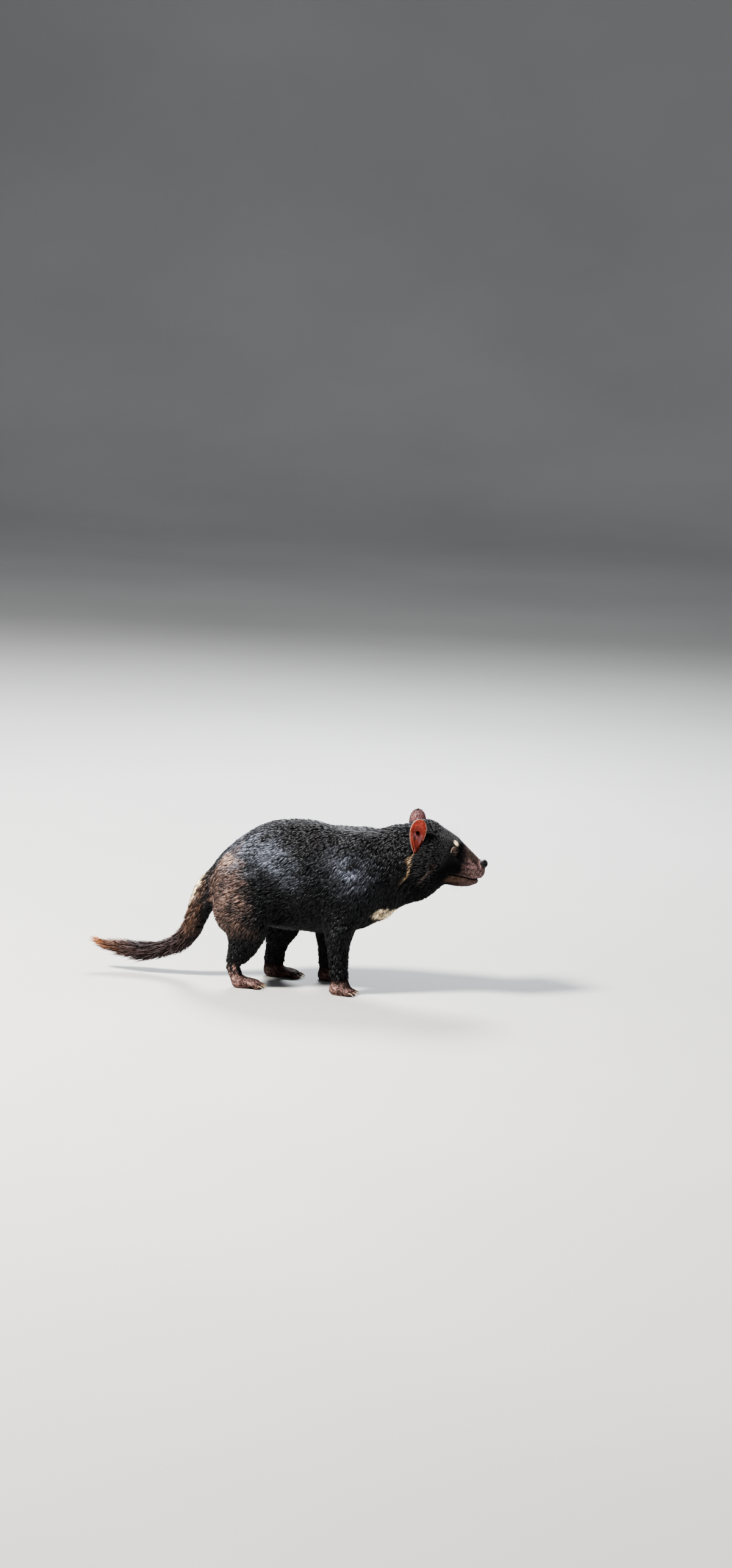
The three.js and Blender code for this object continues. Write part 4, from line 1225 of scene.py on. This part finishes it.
def tufts(name, hair, rings, tints, finish, flat=0.5, field=None, lift_from=-0.5, bend=0):
    """Joined meshes of many tufts, each following the skin at a height that grows along it."""
    root, normal, way, length, width, height = hair
    thick = width * flat
    count, steps = len(root), len(rings)
    side = np.cross(normal, way)
    bend = bend + 0.06 * random.normal(size=count) * length
    places = np.array([r[0] for r in rings] + [1.0])
    points = np.zeros((count, 3 * steps + 1, 3))
    for r, t in enumerate(places):
        centre = root + way * (length * t)[:, None] + side * (bend * t * t)[:, None]
        if field is not None and t > 0:
            centre -= normal * in_parts(field, centre)[:, None]
        above = lift_from + (height - lift_from) * (1 - (1 - t) ** 1.6)
        centre = centre + normal * above[:, None]
        if r == steps:
            points[:, -1] = centre
            continue
        half, tall = (width * rings[r][1] / 2)[:, None], (thick * rings[r][2])[:, None]
        points[:, 3 * r] = centre - side * half
        points[:, 3 * r + 1] = centre + side * half
        points[:, 3 * r + 2] = centre + normal * tall
    points[:, :, 2] = np.maximum(points[:, :, 2], 0)
    faces, corner_places = tuft_faces(rings)
    at = unwrapped(root)
    along = np.append(np.repeat(places[:-1], 3), 1.0)
    across = np.append(np.tile([0.0, 1.0, 0.5], steps), 0.5)
    strand = np.zeros((count, 3 * steps + 1, 3))
    strand[:, :, 0] = across + STRANDS_APART * random.random((count, 1))
    strand[:, :, 1] = along * 0.6
    strand[:, :, 2] = STRANDS_APART * random.random((count, 1))
    root_tint, tip_tint = tints
    tint = root_tint[:, None] + (tip_tint - root_tint)[:, None] * along[None, :, None]
    order = np.argsort(root[:, 0], kind="stable")
    groups = np.array_split(order, math.ceil(count / (MOST_TRIANGLES // len(faces))))
    pieces = []
    for k, group in enumerate(groups):
        first = np.arange(len(group)) * (3 * steps + 1)
        index = (faces + first[:, None, None]).reshape(-1, 3)
        uvs = (at[group][:, None, None] + PATCH * (corner_places - 0.5)).reshape(-1, 2)
        label = name if len(groups) == 1 else f"{name}_{k + 1}"
        vertices, colours, strands = (v[group].reshape(-1, 3) for v in (points, tint, strand))
        pieces.append(mesh_object(label, vertices, index, finish, colours, {"strand": strands}, uvs))
    return pieces


def coat_tints(p, tip_lift):
    """Colours of each tuft's root and tip, a few of them grey; the darker roots are painted shade down in the
    coat.
    """
    count = len(p)
    base = markings_and_painted_sheen(p) * (1 + 0.28 * random.normal(size=(count, 1))).clip(0.4, 1.9)
    share_of_grey = 0.03 + 0.2 * smooth(-p[:, 0], 40, 110) * smooth(p[:, 2], 120, 160)
    grey = (random.random(count) < share_of_grey)[:, None]
    return base * 0.7, base * (1 + tip_lift) + grey * 0.02 * random.random((count, 1))


def short_share(p):
    """1 where the coat is too short to lie in clumps: on the face and the feet."""
    return np.maximum(smooth(unturned(p)[:, 0], 262, 286), smooth(p[:, 2], 40, 26) * (p[:, 0] > BEHIND_LEGS))


def tail_share(p):
    return smooth(-p[:, 0], 176, 196)


# Tufts or clumps for each square millimetre
def body_density(p):
    growth = 0.078 + 0.07 * smooth(unturned(p)[:, 0], 220, 262)
    return growth * hair_share(p) * (1 - short_share(p)) * (1 - tail_share(p))


def short_density(p):
    return 1.25 * hair_share(p) * short_share(p)


def tail_density(p):
    return 0.30 * tail_share(p) * (p[:, 0] > -352)


def strayed(lie, normal, amount):
    """The lie of each hair, turned a little at random on the skin."""
    return unit(lie + amount * random.normal(size=(len(lie), 1)) * np.cross(normal, lie))


def make_coat(points, triangles, way):
    body_coat = coat_material("body_coat", 0.46)
    head_coat = coat_material("head_coat", 0.58, shine=0.34)
    short_coat = coat_material("short_coat", 0.6, shine=0.36)
    tail_coat = coat_material("tail_hair", 0.48, shine=0.5, strands=0.8)
    seed, normal = scattered(points, triangles, way, body_density)
    on_head = unturned(seed)[:, 0] + 8 * random.normal(size=len(seed)) > 222
    coat = make_clumps("coat", seed[~on_head], normal[~on_head], body_coat)
    coat += make_clumps("head_coat", seed[on_head], normal[on_head], head_coat)
    coat += make_short_coat(*scattered(points, triangles, way, short_density), short_coat)
    root, _ = scattered(points, triangles, way, tail_density)
    return coat + make_tail_hair(root, tail_coat)


def make_short_coat(root, normal, finish):
    """Single short tufts on the face and the feet."""
    lie = strayed(lie_of(root, normal), normal, 0.16)
    length = hair_length(root) * random.uniform(0.75, 1.3, len(root))
    width = (0.35 + 0.1 * length) * random.uniform(0.8, 1.2, len(root))
    height = 0.5 + 0.16 * length * random.uniform(0.6, 1.2, len(root))
    hair = Hair(root, normal, lie, length, width, height)
    tints = coat_tints(root, 0.6)
    return tufts("short_coat", hair, SHORT_TUFT, tints, finish, field=skin_field, lift_from=-0.3)


TUFTS_IN_CLUMP = 4
CLUMP_REACH = {"short": 1.1, "long": 2.7}  # how far tufts grow from the middle of their clump


def make_clumps(name, seed, normal, finish):
    """Hair in clumps, each of a few tufts that draw together towards its tip."""
    clumps = len(seed)
    lie = strayed(lie_of(seed, normal), normal, 0.11)
    length = hair_length(seed) * 1.4 * random.uniform(0.75, 1.25, clumps)
    size = smooth(length, 3, 10)
    reach = CLUMP_REACH["short"] + (CLUMP_REACH["long"] - CLUMP_REACH["short"]) * size
    high = (0.9 + 2.6 * size) * random.uniform(0.55, 1.3, clumps)
    shade = random.lognormal(0, 0.32, clumps)
    each = np.repeat(np.arange(clumps), TUFTS_IN_CLUMP)
    count = len(each)
    off = random.uniform(-1, 1, (count, 2)) * reach[each][:, None]
    off[::TUFTS_IN_CLUMP, 0] *= 0.2
    side = np.cross(normal, lie)[each]
    root = seed[each] + side * off[:, :1] + lie[each] * off[:, 1:]
    root -= normal[each] * in_parts(skin_field, root)[:, None]
    own = length[each] - 0.6 * off[:, 1]
    edge = np.abs(off[:, 0]) / reach[each]
    height = high[each] * (1 - 0.45 * edge) * random.uniform(0.8, 1.15, count)
    width = (0.9 + 1.0 * size[each]) * random.uniform(0.8, 1.2, count)
    root_tint, tip_tint = coat_tints(root, 0.45)
    # Clump roots darkened further: painted shade down inside each clump
    tints = (0.6 * root_tint * shade[each][:, None], tip_tint * shade[each][:, None])
    hair = Hair(root, normal[each], lie[each], own, width, height)
    return tufts(name, hair, LONG_TUFT, tints, finish, field=skin_field, bend=-0.6 * off[:, 0])


def make_tail_hair(root, finish):
    """Long hair that lies back along the tail, ending in a thin brush."""
    line = through_rows(TUFT, 6)
    middle, outer = line[:, :3], line[:, 3]
    count = len(root)
    leg, share, _ = nearest_leg(root, middle)
    along = unit(np.diff(middle, axis=0))[leg]
    brush = smooth(-root[:, 0], 215, 275)
    outward = root - (middle[leg] + (middle[leg + 1] - middle[leg]) * share[:, None])
    outward = unit(outward - along * (outward * along).sum(1)[:, None])
    lie = unit(along + (0.06 + 0.06 * random.normal(size=(count, 1))) * outward)
    astray = (0.07 + 0.05 * brush)[:, None] * random.normal(size=(count, 1))
    lie = unit(lie + astray * np.cross(outward, along))
    length = (13 + 24 * brush) * random.uniform(0.75, 1.2, count)
    length = np.minimum(length, (TAIL_END + root[:, 0]) * (1 - 0.6 * random.random(count) ** 2))
    width = (1.5 + 0.2 * brush) * random.uniform(0.6, 1.2, count)
    from_line = np.linalg.norm(root - middle[leg], axis=1)
    reach = np.interp(length - root[:, 0], -middle[:, 0], outer)
    height = np.clip(reach * random.uniform(0.3, 1.1, count) - from_line, -from_line * 0.8, 9)
    lie[:, 2] += np.interp(-root[:, 0], [200, 270, 320, 345], [0, -0.02, 0.05, 0.2])
    root_tint, tip_tint = coat_tints(root, 0.6)
    golden = smooth(length - root[:, 0], 305, 385) * random.random(count)
    tints = (root_tint, paint(tip_tint, TAIL_ORANGE, 0.9 * golden))
    hair = Hair(root, outward, unit(lie), length, width, height)
    pieces = tufts("tail_hair", hair, TAIL_TUFT, tints, finish, flat=0.45)
    return pieces


# Ears
def ear_sheet(side):
    """The cup of an ear, as two grids: the bare inside with its folds, and the back."""
    root, up, out, rear = ear_axes(side)
    v = np.sin(math.pi / 2 * np.linspace(0, 1, EAR_ROWS + 1))[:, None]
    u = np.sin(math.pi / 2 * np.linspace(-1, 1, EAR_COLUMNS + 1))[None]
    reach, cup = ear_reach(v), ear_cup(v)
    base_out = cup * (u * u - 1)
    edge = np.abs(u) * np.ones_like(v)
    folds = 1.4 * bell(edge - 0.93, 0.09) + 1.2 * bell(v - 0.955, 0.03) * smooth(np.abs(u), 1, 0.8)
    flange = 5.5 * bell(u - (0.40 + 0.2 * smooth(v, 0.2, 0.6)), 0.2)
    flange = flange * smooth(v, 0.74, 0.5) * smooth(v, 0.02, 0.12)
    trough = -2.8 * bell(u - 0.08, 0.14) * smooth(v, 0.5, 0.4)
    ripples = 0.5 * np.sin(u * 9 + v * 14) * smooth(v, 0.35, 0.6) * smooth(edge, 0.9, 0.7)
    folds = folds + flange + trough + ripples + ovals(u, v, EAR_LOBES)
    thick = 1.0 + 1.4 * (1 - edge**3) + 5.5 * smooth(v, 0.68, 0.45) * (1 - np.abs(u) ** 4)
    inner = base_out + 1.25 * folds
    outer = np.minimum(base_out - thick * smooth(v, 1.03, 0.9), inner - 0.8)
    middle = root + up * v[..., None] + rear * (u * reach)[..., None]
    front, back = (middle + out * way_out[..., None] for way_out in (inner, outer))
    return front, back, u * np.ones_like(v), v * np.ones_like(u)


EAR_COLUMNS, EAR_ROWS = 56, 84
EAR_HAIRS = 6500
EAR_RED = colour(186, 92, 78)
EAR_PINK = colour(178, 128, 128)
# Painted shade for the hollows inside the ear
EAR_PAINTED_SHADE = colour(30, 14, 15)
EAR_RIM = colour(184, 138, 120)
EAR_BACK = colour(62, 46, 43)


def inner_ear_colours(points, u, v):
    """Red skin with paler lobes and a pale rim, with painted shade in the canal, the slit, the bowl and at
    the foot of the ear.
    """
    inner = np.tile(EAR_RED, (len(points), 1)) * (1 + 0.15 * waves(points, 4, 71))[:, None]
    inner = paint(inner, EAR_PAINTED_SHADE, 0.45 * bell(oval_reach(u, v, (-0.1, 0.62), (0.6, 0.14)), 1))
    inner = paint(inner, EAR_PINK, smooth(oval_reach(u, v, (-0.02, 0.47), (0.34, 0.1)), 1.2, 0.6))
    inner = paint(inner, EAR_PINK, 0.7 * smooth(oval_reach(u, v, (-0.6, 0.42), (0.3, 0.14)), 1.2, 0.6))
    inner = paint(inner, EAR_PAINTED_SHADE, smooth(oval_reach(u, v, (-0.36, 0.56), (0.17, 0.055)), 1.25, 0.75))
    inner = paint(inner, EAR_PAINTED_SHADE, 0.9 * smooth(np.abs(u - 0.2) / 0.16, 1.2, 0.5) * smooth(v, 0.48, 0.4))
    inner = paint(inner, EAR_PAINTED_SHADE, 0.45 * smooth(v, 0.3, 0.1))
    return paint(inner, EAR_RIM, smooth(np.maximum(np.abs(u), (v - 0.2) / 0.8), 0.9, 0.985))


def make_ear(name, side, finish):
    front, back, u, v = ear_sheet(side)
    rows, columns = u.shape
    size = rows * columns
    ids = np.arange(size).reshape(rows, columns)
    quads = np.stack([ids[:-1, :-1], ids[:-1, 1:], ids[1:, 1:], ids[1:, :-1]], -1).reshape(-1, 4)
    rim = np.concatenate([ids[0, :-1], ids[:-1, -1], ids[-1, :0:-1], ids[:0:-1, 0]])
    following = np.roll(rim, -1)
    walls = np.stack([following, rim, rim + size, following + size], 1)
    faces = np.concatenate([quads, quads[:, ::-1] + size, walls])
    triangles = np.concatenate([faces[:, [0, 1, 2]], faces[:, [0, 2, 3]]])
    if side > 0:
        triangles = triangles[:, ::-1]
    points = np.vstack([front.reshape(-1, 3), back.reshape(-1, 3)])
    inner = inner_ear_colours(points[:size], u.ravel(), v.ravel())
    outer = paint(np.tile(EAR_BACK, (size, 1)), EAR_PINK, 0.6 * smooth(v.ravel(), 0.4, 0.8))
    ear = mesh_object(name, points, triangles, finish, np.vstack([inner, outer]))
    return ear, front, back, v


def make_ear_hair(name, front, back, v, finish):
    """Short dark hair on the back of an ear."""
    rows, columns = v.shape
    r = random.integers(0, rows - 1, EAR_HAIRS)
    c = random.integers(0, columns - 1, EAR_HAIRS)
    share_r, share_c = random.random((2, EAR_HAIRS, 1))

    def at(grid):
        left, right = (mix(grid[r, k], grid[r + 1, k], share_r) for k in (c, c + 1))
        return mix(left, right, share_c)

    root = at(back)
    across = unit(back[r, c + 1] - back[r, c])
    up = unit(back[r + 1, c] - back[r, c])
    normal = unit(np.cross(across, up))
    normal *= np.sign((normal * (root - at(front))).sum(1))[:, None]
    height = v[r, c]
    sparse = random.random(EAR_HAIRS) > 0.55 * smooth(height, 0.45, 0.8)
    keep = (height > 0.1) & (skin_field(root) > -0.5) & sparse
    root, normal, up, across, height = root[keep], normal[keep], up[keep], across[keep], height[keep]
    count = len(root)
    lie = unit(up + 0.25 * random.normal(size=(count, 1)) * across)
    length = 3.4 * random.uniform(0.7, 1.3, count) * (1 - 0.45 * smooth(height, 0.8, 1))
    width = 0.5 * random.uniform(0.8, 1.2, count)
    dark = np.tile(EAR_BACK * 0.8, (count, 1)) * random.uniform(0.6, 1.4, (count, 1))
    hair = Hair(root, normal, lie, length, width, np.full(count, 0.55))
    # Roots darker than tips: painted shade down among the hair
    pieces = tufts(name, hair, SHORT_TUFT, (dark * 0.8, dark * 1.5), finish, lift_from=-0.2)
    return pieces


# Eyes, claws and whiskers
def ball(centre, radius, columns=48, rows=32):
    """Closed ball of triangles, its poles along Z."""
    turn = np.arange(columns) * 2 * math.pi / columns
    tilt = np.arange(1, rows) * math.pi / rows
    level = [np.outer(np.sin(tilt), np.cos(turn)), np.outer(np.sin(tilt), np.sin(turn))]
    ring = np.stack([*level, np.outer(np.cos(tilt), np.ones(columns))], -1)
    way = np.vstack([[[0, 0, 1]], ring.reshape(-1, 3), [[0, 0, -1]]])
    last = len(way) - 1
    faces = []
    for c in range(columns):
        following = (c + 1) % columns
        for a, b in ((1 + r * columns + c, 1 + r * columns + following) for r in range(rows - 2)):
            faces += [(a, a + columns, b + columns), (a, b + columns, b)]
        faces.append((0, 1 + c, 1 + following))
        faces.append((last, last - columns + following, last - columns + c))
    return np.array(centre) + way * radius, np.array(faces), way


PUPIL = colour(6, 5, 6)
IRIS = colour(58, 36, 22)
IRIS_RIM = colour(20, 13, 10)
WHITE_OF_EYE = colour(70, 52, 46)


def make_eye(name, side, finish):
    centre = turned(mirrored(EYE["at"], side))
    look, forward, _ = eye_axes(side)
    points, faces, way = ball(centre, EYE["radius"] - 0.05)
    gaze = unit(look + 0.12 * forward)
    angle = np.degrees(np.arccos(np.clip(way @ gaze, -1, 1)))
    cornea = 0.55 * smooth(angle, 42, 18)
    points = points + way * cornea[:, None]
    tint = np.tile(WHITE_OF_EYE, (len(points), 1))
    tint = paint(tint, IRIS_RIM, smooth(angle, 44, 38))
    tint = paint(tint, IRIS, smooth(angle, 38, 32))
    tint = paint(tint, PUPIL, smooth(angle, 22, 17))
    return mesh_object(name, points, faces, finish, tint)


def tube(path, wide, tall, sides):
    """Closed tube along a path, with half widths and half heights, ending in flats."""
    tangent = unit(np.vstack([path[1:], path[-1:]]) - np.vstack([path[:1], path[:-1]]))
    start = np.array([0, 0, 1.0]) if abs(tangent[0][2]) < 0.8 else np.array([1.0, 0, 0])
    across = unit(np.cross(tangent, start))
    upwards = np.cross(tangent, across)
    turn = np.arange(sides) * 2 * math.pi / sides
    rings = path[:, None] + across[:, None] * (np.cos(turn) * wide[:, None])[..., None]
    rings = rings + upwards[:, None] * (np.sin(turn) * tall[:, None])[..., None]
    points = np.vstack([rings.reshape(-1, 3), path[:1], path[-1:]])
    faces = []
    last = len(path) - 1
    for s in range(sides):
        t = (s + 1) % sides
        for p, q in ((r * sides + s, r * sides + t) for r in range(last)):
            faces += [(p, q, q + sides), (p, q + sides, p + sides)]
        faces.append((len(points) - 2, t, s))
        faces.append((len(points) - 1, last * sides + s, last * sides + t))
    return points, np.array(faces)


def joined(bodies):
    """Points and faces of several bodies as those of one."""
    points, faces, start = [], [], 0
    for p, f in bodies:
        points.append(p)
        faces.append(f + start)
        start += len(p)
    return np.vstack(points), np.concatenate(faces)


CLAW_HORN = colour(120, 98, 82)
CLAW_TIP = colour(186, 168, 146)
CLAW_RINGS, CLAW_SIDES = 9, 10


def claw_body(path):
    """A claw leaves the end of its toe and curves down to just above the floor."""
    start, tip = (np.array(row[:3], float) for row in path[-2:])
    way = unit((tip - start) * [1, 1, 0])
    t = np.linspace(0, 1, CLAW_RINGS)
    line = start + way * (2 + CLAW["length"] * t)[:, None]
    line[:, 2] = CLAW["height"] + 0.6 * t * (1 - t) * 4 - CLAW["drop"] * t * t
    radius = CLAW["radius"] * (1 - t**1.4 * 0.93)
    return tube(line, radius * 0.8, radius, CLAW_SIDES)


def make_claws(name, foot, finish):
    bodies = [claw_body(path) for path in toe_paths(**foot)]
    points, faces = joined(bodies)
    along = np.append(np.repeat(np.linspace(0, 1, CLAW_RINGS), CLAW_SIDES), [0, 1])
    tip = smooth(np.tile(along, len(bodies)), 0.3, 0.95)
    tint = paint(np.tile(CLAW_HORN, (len(points), 1)), CLAW_TIP, tip)
    return mesh_object(name, points, faces, finish, tint)


WHISKER_DARK = colour(40, 34, 32)
WHISKER_MID = colour(60, 48, 44)
WHISKER_PALE = colour(104, 84, 74)
WHISKER_POINTS = 12


def whisker(root, way, length, droop, thick):
    t = np.linspace(0, 1, WHISKER_POINTS)
    line = root + unit(way) * (length * t - 1.5)[:, None] + np.array([0, 0, -1.0]) * (droop * t * t)[:, None]
    radius = thick * (1 - 0.9 * t)
    return tube(line, radius, radius, 5)


def make_whiskers(name, side, finish):
    """Whiskers of the muzzle, the cheek, the brow and the chin."""
    bodies, shades = [], []

    def grow(at, way, length, droop, thick, shade):
        root = settle(skin_field, turned(mirrored(at, side))[None], 6.0, 6)[0]
        bodies.append(whisker(root, turned_way(mirrored(way, side)), length, droop, thick))
        shades.append(shade)

    for x, z in FOLLICLES[::2]:
        back = (338 - x) / 28
        length = random.uniform(20, 34) + 14 * back
        way = (0.25 - 0.75 * back + random.normal() * 0.08, 1.0, -0.12 + random.normal() * 0.12)
        grow((x, 24, z), way, length, random.uniform(3, 8), 0.26, WHISKER_DARK)
    for k in range(7):
        at = (266 + random.uniform(-4, 4), 55, 251 + random.uniform(-4, 4))
        way = (-0.78 + random.normal() * 0.12, 0.32 + random.normal() * 0.1, -0.62 + random.normal() * 0.16)
        shade = WHISKER_PALE if k % 2 else WHISKER_MID
        grow(at, way, random.uniform(34, 56), random.uniform(2, 7), 0.2, shade)
    for k in range(4):
        at = (309 + random.uniform(-2, 2), 27, 292 + random.uniform(-2, 2))
        way = (0.1 - 0.25 * k + random.normal() * 0.06, 0.7, 0.75)
        grow(at, way, random.uniform(16, 28), -3, 0.22, WHISKER_DARK)
    for k in range(4):
        grow((322 - 5 * k, 8, 205), (-0.5, 0.3, -0.85), random.uniform(12, 20), -2, 0.2, WHISKER_MID)
    points, faces = joined(bodies)
    tint = np.repeat(np.array(shades), [len(b[0]) for b in bodies], axis=0)
    return mesh_object(name, points, faces, finish, tint)


# Stage, light and camera
CAMERA = {"distance": 7000, "elevation": 11, "yaw": 8, "roll": 2.5, "focal": 6090}
PICTURE = {"width": 1200, "height": 2570}
SENSOR = 36  # in millimetres
TARGET = (0, 0, 154.6)  # the point of the layout that the camera is set by
TARGET_PIXEL = (475, 1480)  # and its place in the picture


def make_camera():
    """The photograph's view: the target lands on its pixel, with the same tilt of the horizon."""
    elevation, yaw, roll = (math.radians(CAMERA[k]) for k in ("elevation", "yaw", "roll"))
    level_share, rise = math.cos(elevation), math.sin(elevation)
    back = np.array([math.sin(yaw) * level_share, -math.cos(yaw) * level_share, rise])
    level = np.array([math.cos(yaw), math.sin(yaw), 0])
    upright = np.cross(back, level)
    right = level * math.cos(roll) + upright * math.sin(roll)
    axes = np.stack([right, np.cross(back, right), back])
    across = (TARGET_PIXEL[0] - PICTURE["width"] / 2) / CAMERA["focal"]
    below = (TARGET_PIXEL[1] - PICTURE["height"] / 2) / CAMERA["focal"]
    ray = unit([across, -below, -1])
    seen, wanted = ray @ axes, -back
    axis = np.cross(seen, wanted)
    sine, cosine = np.linalg.norm(axis), seen @ wanted
    k = unit(axis)
    cross = np.array([[0, -k[2], k[1]], [k[2], 0, -k[0]], [-k[1], k[0], 0]])
    turn = np.eye(3) + sine * cross + (1 - cosine) * cross @ cross
    axes = axes @ turn.T
    place = to_frame(np.array(TARGET) + back * CAMERA["distance"])
    data = bpy.data.cameras.new("camera")
    data.sensor_width = SENSOR
    data.lens = SENSOR * CAMERA["focal"] / PICTURE["height"]
    data.clip_end = 200
    camera = bpy.data.objects.new("camera", data)
    matrix = np.eye(4)
    matrix[:3, :3] = axes.T
    matrix[:3, 3] = place
    camera.matrix_world = Matrix(matrix.tolist())
    bpy.context.scene.collection.objects.link(camera)
    bpy.context.scene.camera = camera


def make_light(name, place, aim, size, power, tone=(1, 1, 1)):
    data = bpy.data.lights.new(name, "AREA")
    data.shape = "DISK"
    data.size = size
    data.energy = power
    data.color = tone
    lamp = bpy.data.objects.new(name, data)
    lamp.location = place
    way = np.array(aim, float) - np.array(place, float)
    lamp.rotation_euler = Vector(way).to_track_quat("-Z", "Y").to_euler()
    bpy.context.scene.collection.objects.link(lamp)


FLOOR_SIDES = 96
FLOOR = {"reach": 9, "curve": 5, "top": 9}  # in metres
FLOOR_DARK = (0.36, 0.352, 0.338, 1)
FLOOR_PALE = (0.40, 0.392, 0.376, 1)


def floor_material():
    made, tree, shader = material("floor", Roughness=0.8, Specular_IOR_Level=0.2)
    tone = ranged(tree, noise(tree, object_place(tree), 0.6), 0.0, 1.0)
    inputs = {"Factor": tone, 6: FLOOR_DARK, 7: FLOOR_PALE}
    feed(tree, shader, {"Base Color": node(tree, "ShaderNodeMix", inputs, 2, data_type="RGBA")})
    return made


def make_stage():
    """A pale floor that curves up into a wall all round, with soft light from above and the sides."""
    around = np.arange(FLOOR_SIDES) * 2 * math.pi / FLOOR_SIDES
    curve = FLOOR["curve"]
    bend = np.linspace(0, math.pi / 2, 14)
    profile = [(FLOOR["reach"] + curve * math.sin(a), curve - curve * math.cos(a)) for a in bend]
    profile.append((FLOOR["reach"] + curve, FLOOR["top"]))
    points = [(r * math.cos(a), r * math.sin(a), z) for r, z in profile for a in around]
    faces = [list(range(FLOOR_SIDES))]
    for ring in range(len(profile) - 1):
        for k in range(FLOOR_SIDES):
            a, b = ring * FLOOR_SIDES + k, ring * FLOOR_SIDES + (k + 1) % FLOOR_SIDES
            faces.append([a, a + FLOOR_SIDES, b + FLOOR_SIDES, b])
    mesh = bpy.data.meshes.new("floor")
    mesh.from_pydata(points, [], faces)
    mesh.polygons.foreach_set("use_smooth", np.ones(len(faces), bool))
    mesh.materials.append(floor_material())
    floor = bpy.data.objects.new("floor", mesh)
    bpy.context.scene.collection.objects.link(floor)
    world = bpy.data.worlds.new("world")
    world.use_nodes = True
    world.node_tree.nodes["Background"].inputs["Color"].default_value = (0.80, 0.88, 1.0, 1)
    world.node_tree.nodes["Background"].inputs["Strength"].default_value = 0.45
    bpy.context.scene.world = world
    make_light("key", (-2.4, -1.7, 3.6), (0, 0, 0.2), 0.9, 620, (1, 0.97, 0.93))
    make_light("fill", (2.8, -3.2, 1.6), (0, 0, 0.2), 2.4, 30)
    make_light("rim", (-0.4, 3.0, 3.0), (0, 0, 0.25), 1.4, 280, (0.90, 0.95, 1))
    bpy.context.scene.view_settings.view_transform = "AgX"
    bpy.context.scene.view_settings.look = "AgX - High Contrast"


# Building
make_camera()
make_stage()

FLESH_NODES = ["torso", "neck", "head", "muzzle", "jaw", "nose", "tail_base", "tail_middle", "tail_tuft"]
for part in ("shoulder", "forearm", "forepaw", "thigh", "shank", "hind_foot"):
    FLESH_NODES += [f"{part}_{name}" for name in SIDES]

skin_points, skin_triangles, skin_way = make_skin()
skin_tints = skin_colours(skin_points)
damp = {"wet": wet_skin(skin_points)}
skin = mesh_object("skin", skin_points, skin_triangles, skin_material(), skin_tints, damp)
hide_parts(*FLESH_NODES)
built = [skin]
built += make_coat(skin_points, skin_triangles, skin_way)

ear_finish = grained_material(
    "ear_skin",
    grain=(260.0, 4.0),
    tones=(0.7, 1.3),
    roughness=(0.55, 0.38),
    bump=(0.4, 0.0005),
    rough_grain=(1400.0, 2.0),
    IOR=1.45,
    Subsurface_Weight=0.12,
    Subsurface_Radius=(0.006, 0.002, 0.001),
    Subsurface_Scale=1.0,
)
wet_look = {"IOR": 1.38, "Coat_Weight": 1.0, "Coat_Roughness": 0.03}
eye_finish = grained_material("eye", (1500.0, 2.0), (0.7, 1.3), (0.12, 0.2), **wet_look)
claw_finish = grained_material("claw", (700.0, 3.0), (0.75, 1.25), (0.42, 0.28), (0.25, 0.0002), IOR=1.5)
whisker_finish = grained_material("whisker", (300.0, 2.0), (0.85, 1.15), (0.45, 0.35), IOR=1.5)
ear_coat = coat_material("ear_coat", 0.55, shine=0.4)
for name, side in SIDES.items():
    ear, *grids = make_ear(f"ear_{name}_shell", side, ear_finish)
    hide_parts(f"ear_{name}")
    eye = make_eye(f"eye_{name}_ball", side, eye_finish)
    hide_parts(f"eye_{name}")
    built += [ear, eye, make_whiskers(f"whiskers_{name}", side, whisker_finish)]
    built += make_ear_hair(f"ear_hair_{name}", *grids, ear_coat)
for name, foot in FEET.items():
    built.append(make_claws(f"claws_{name}", foot, claw_finish))
for piece in built:
    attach(piece, "root")

print("triangles", sum(len(o.data.polygons) for o in built))
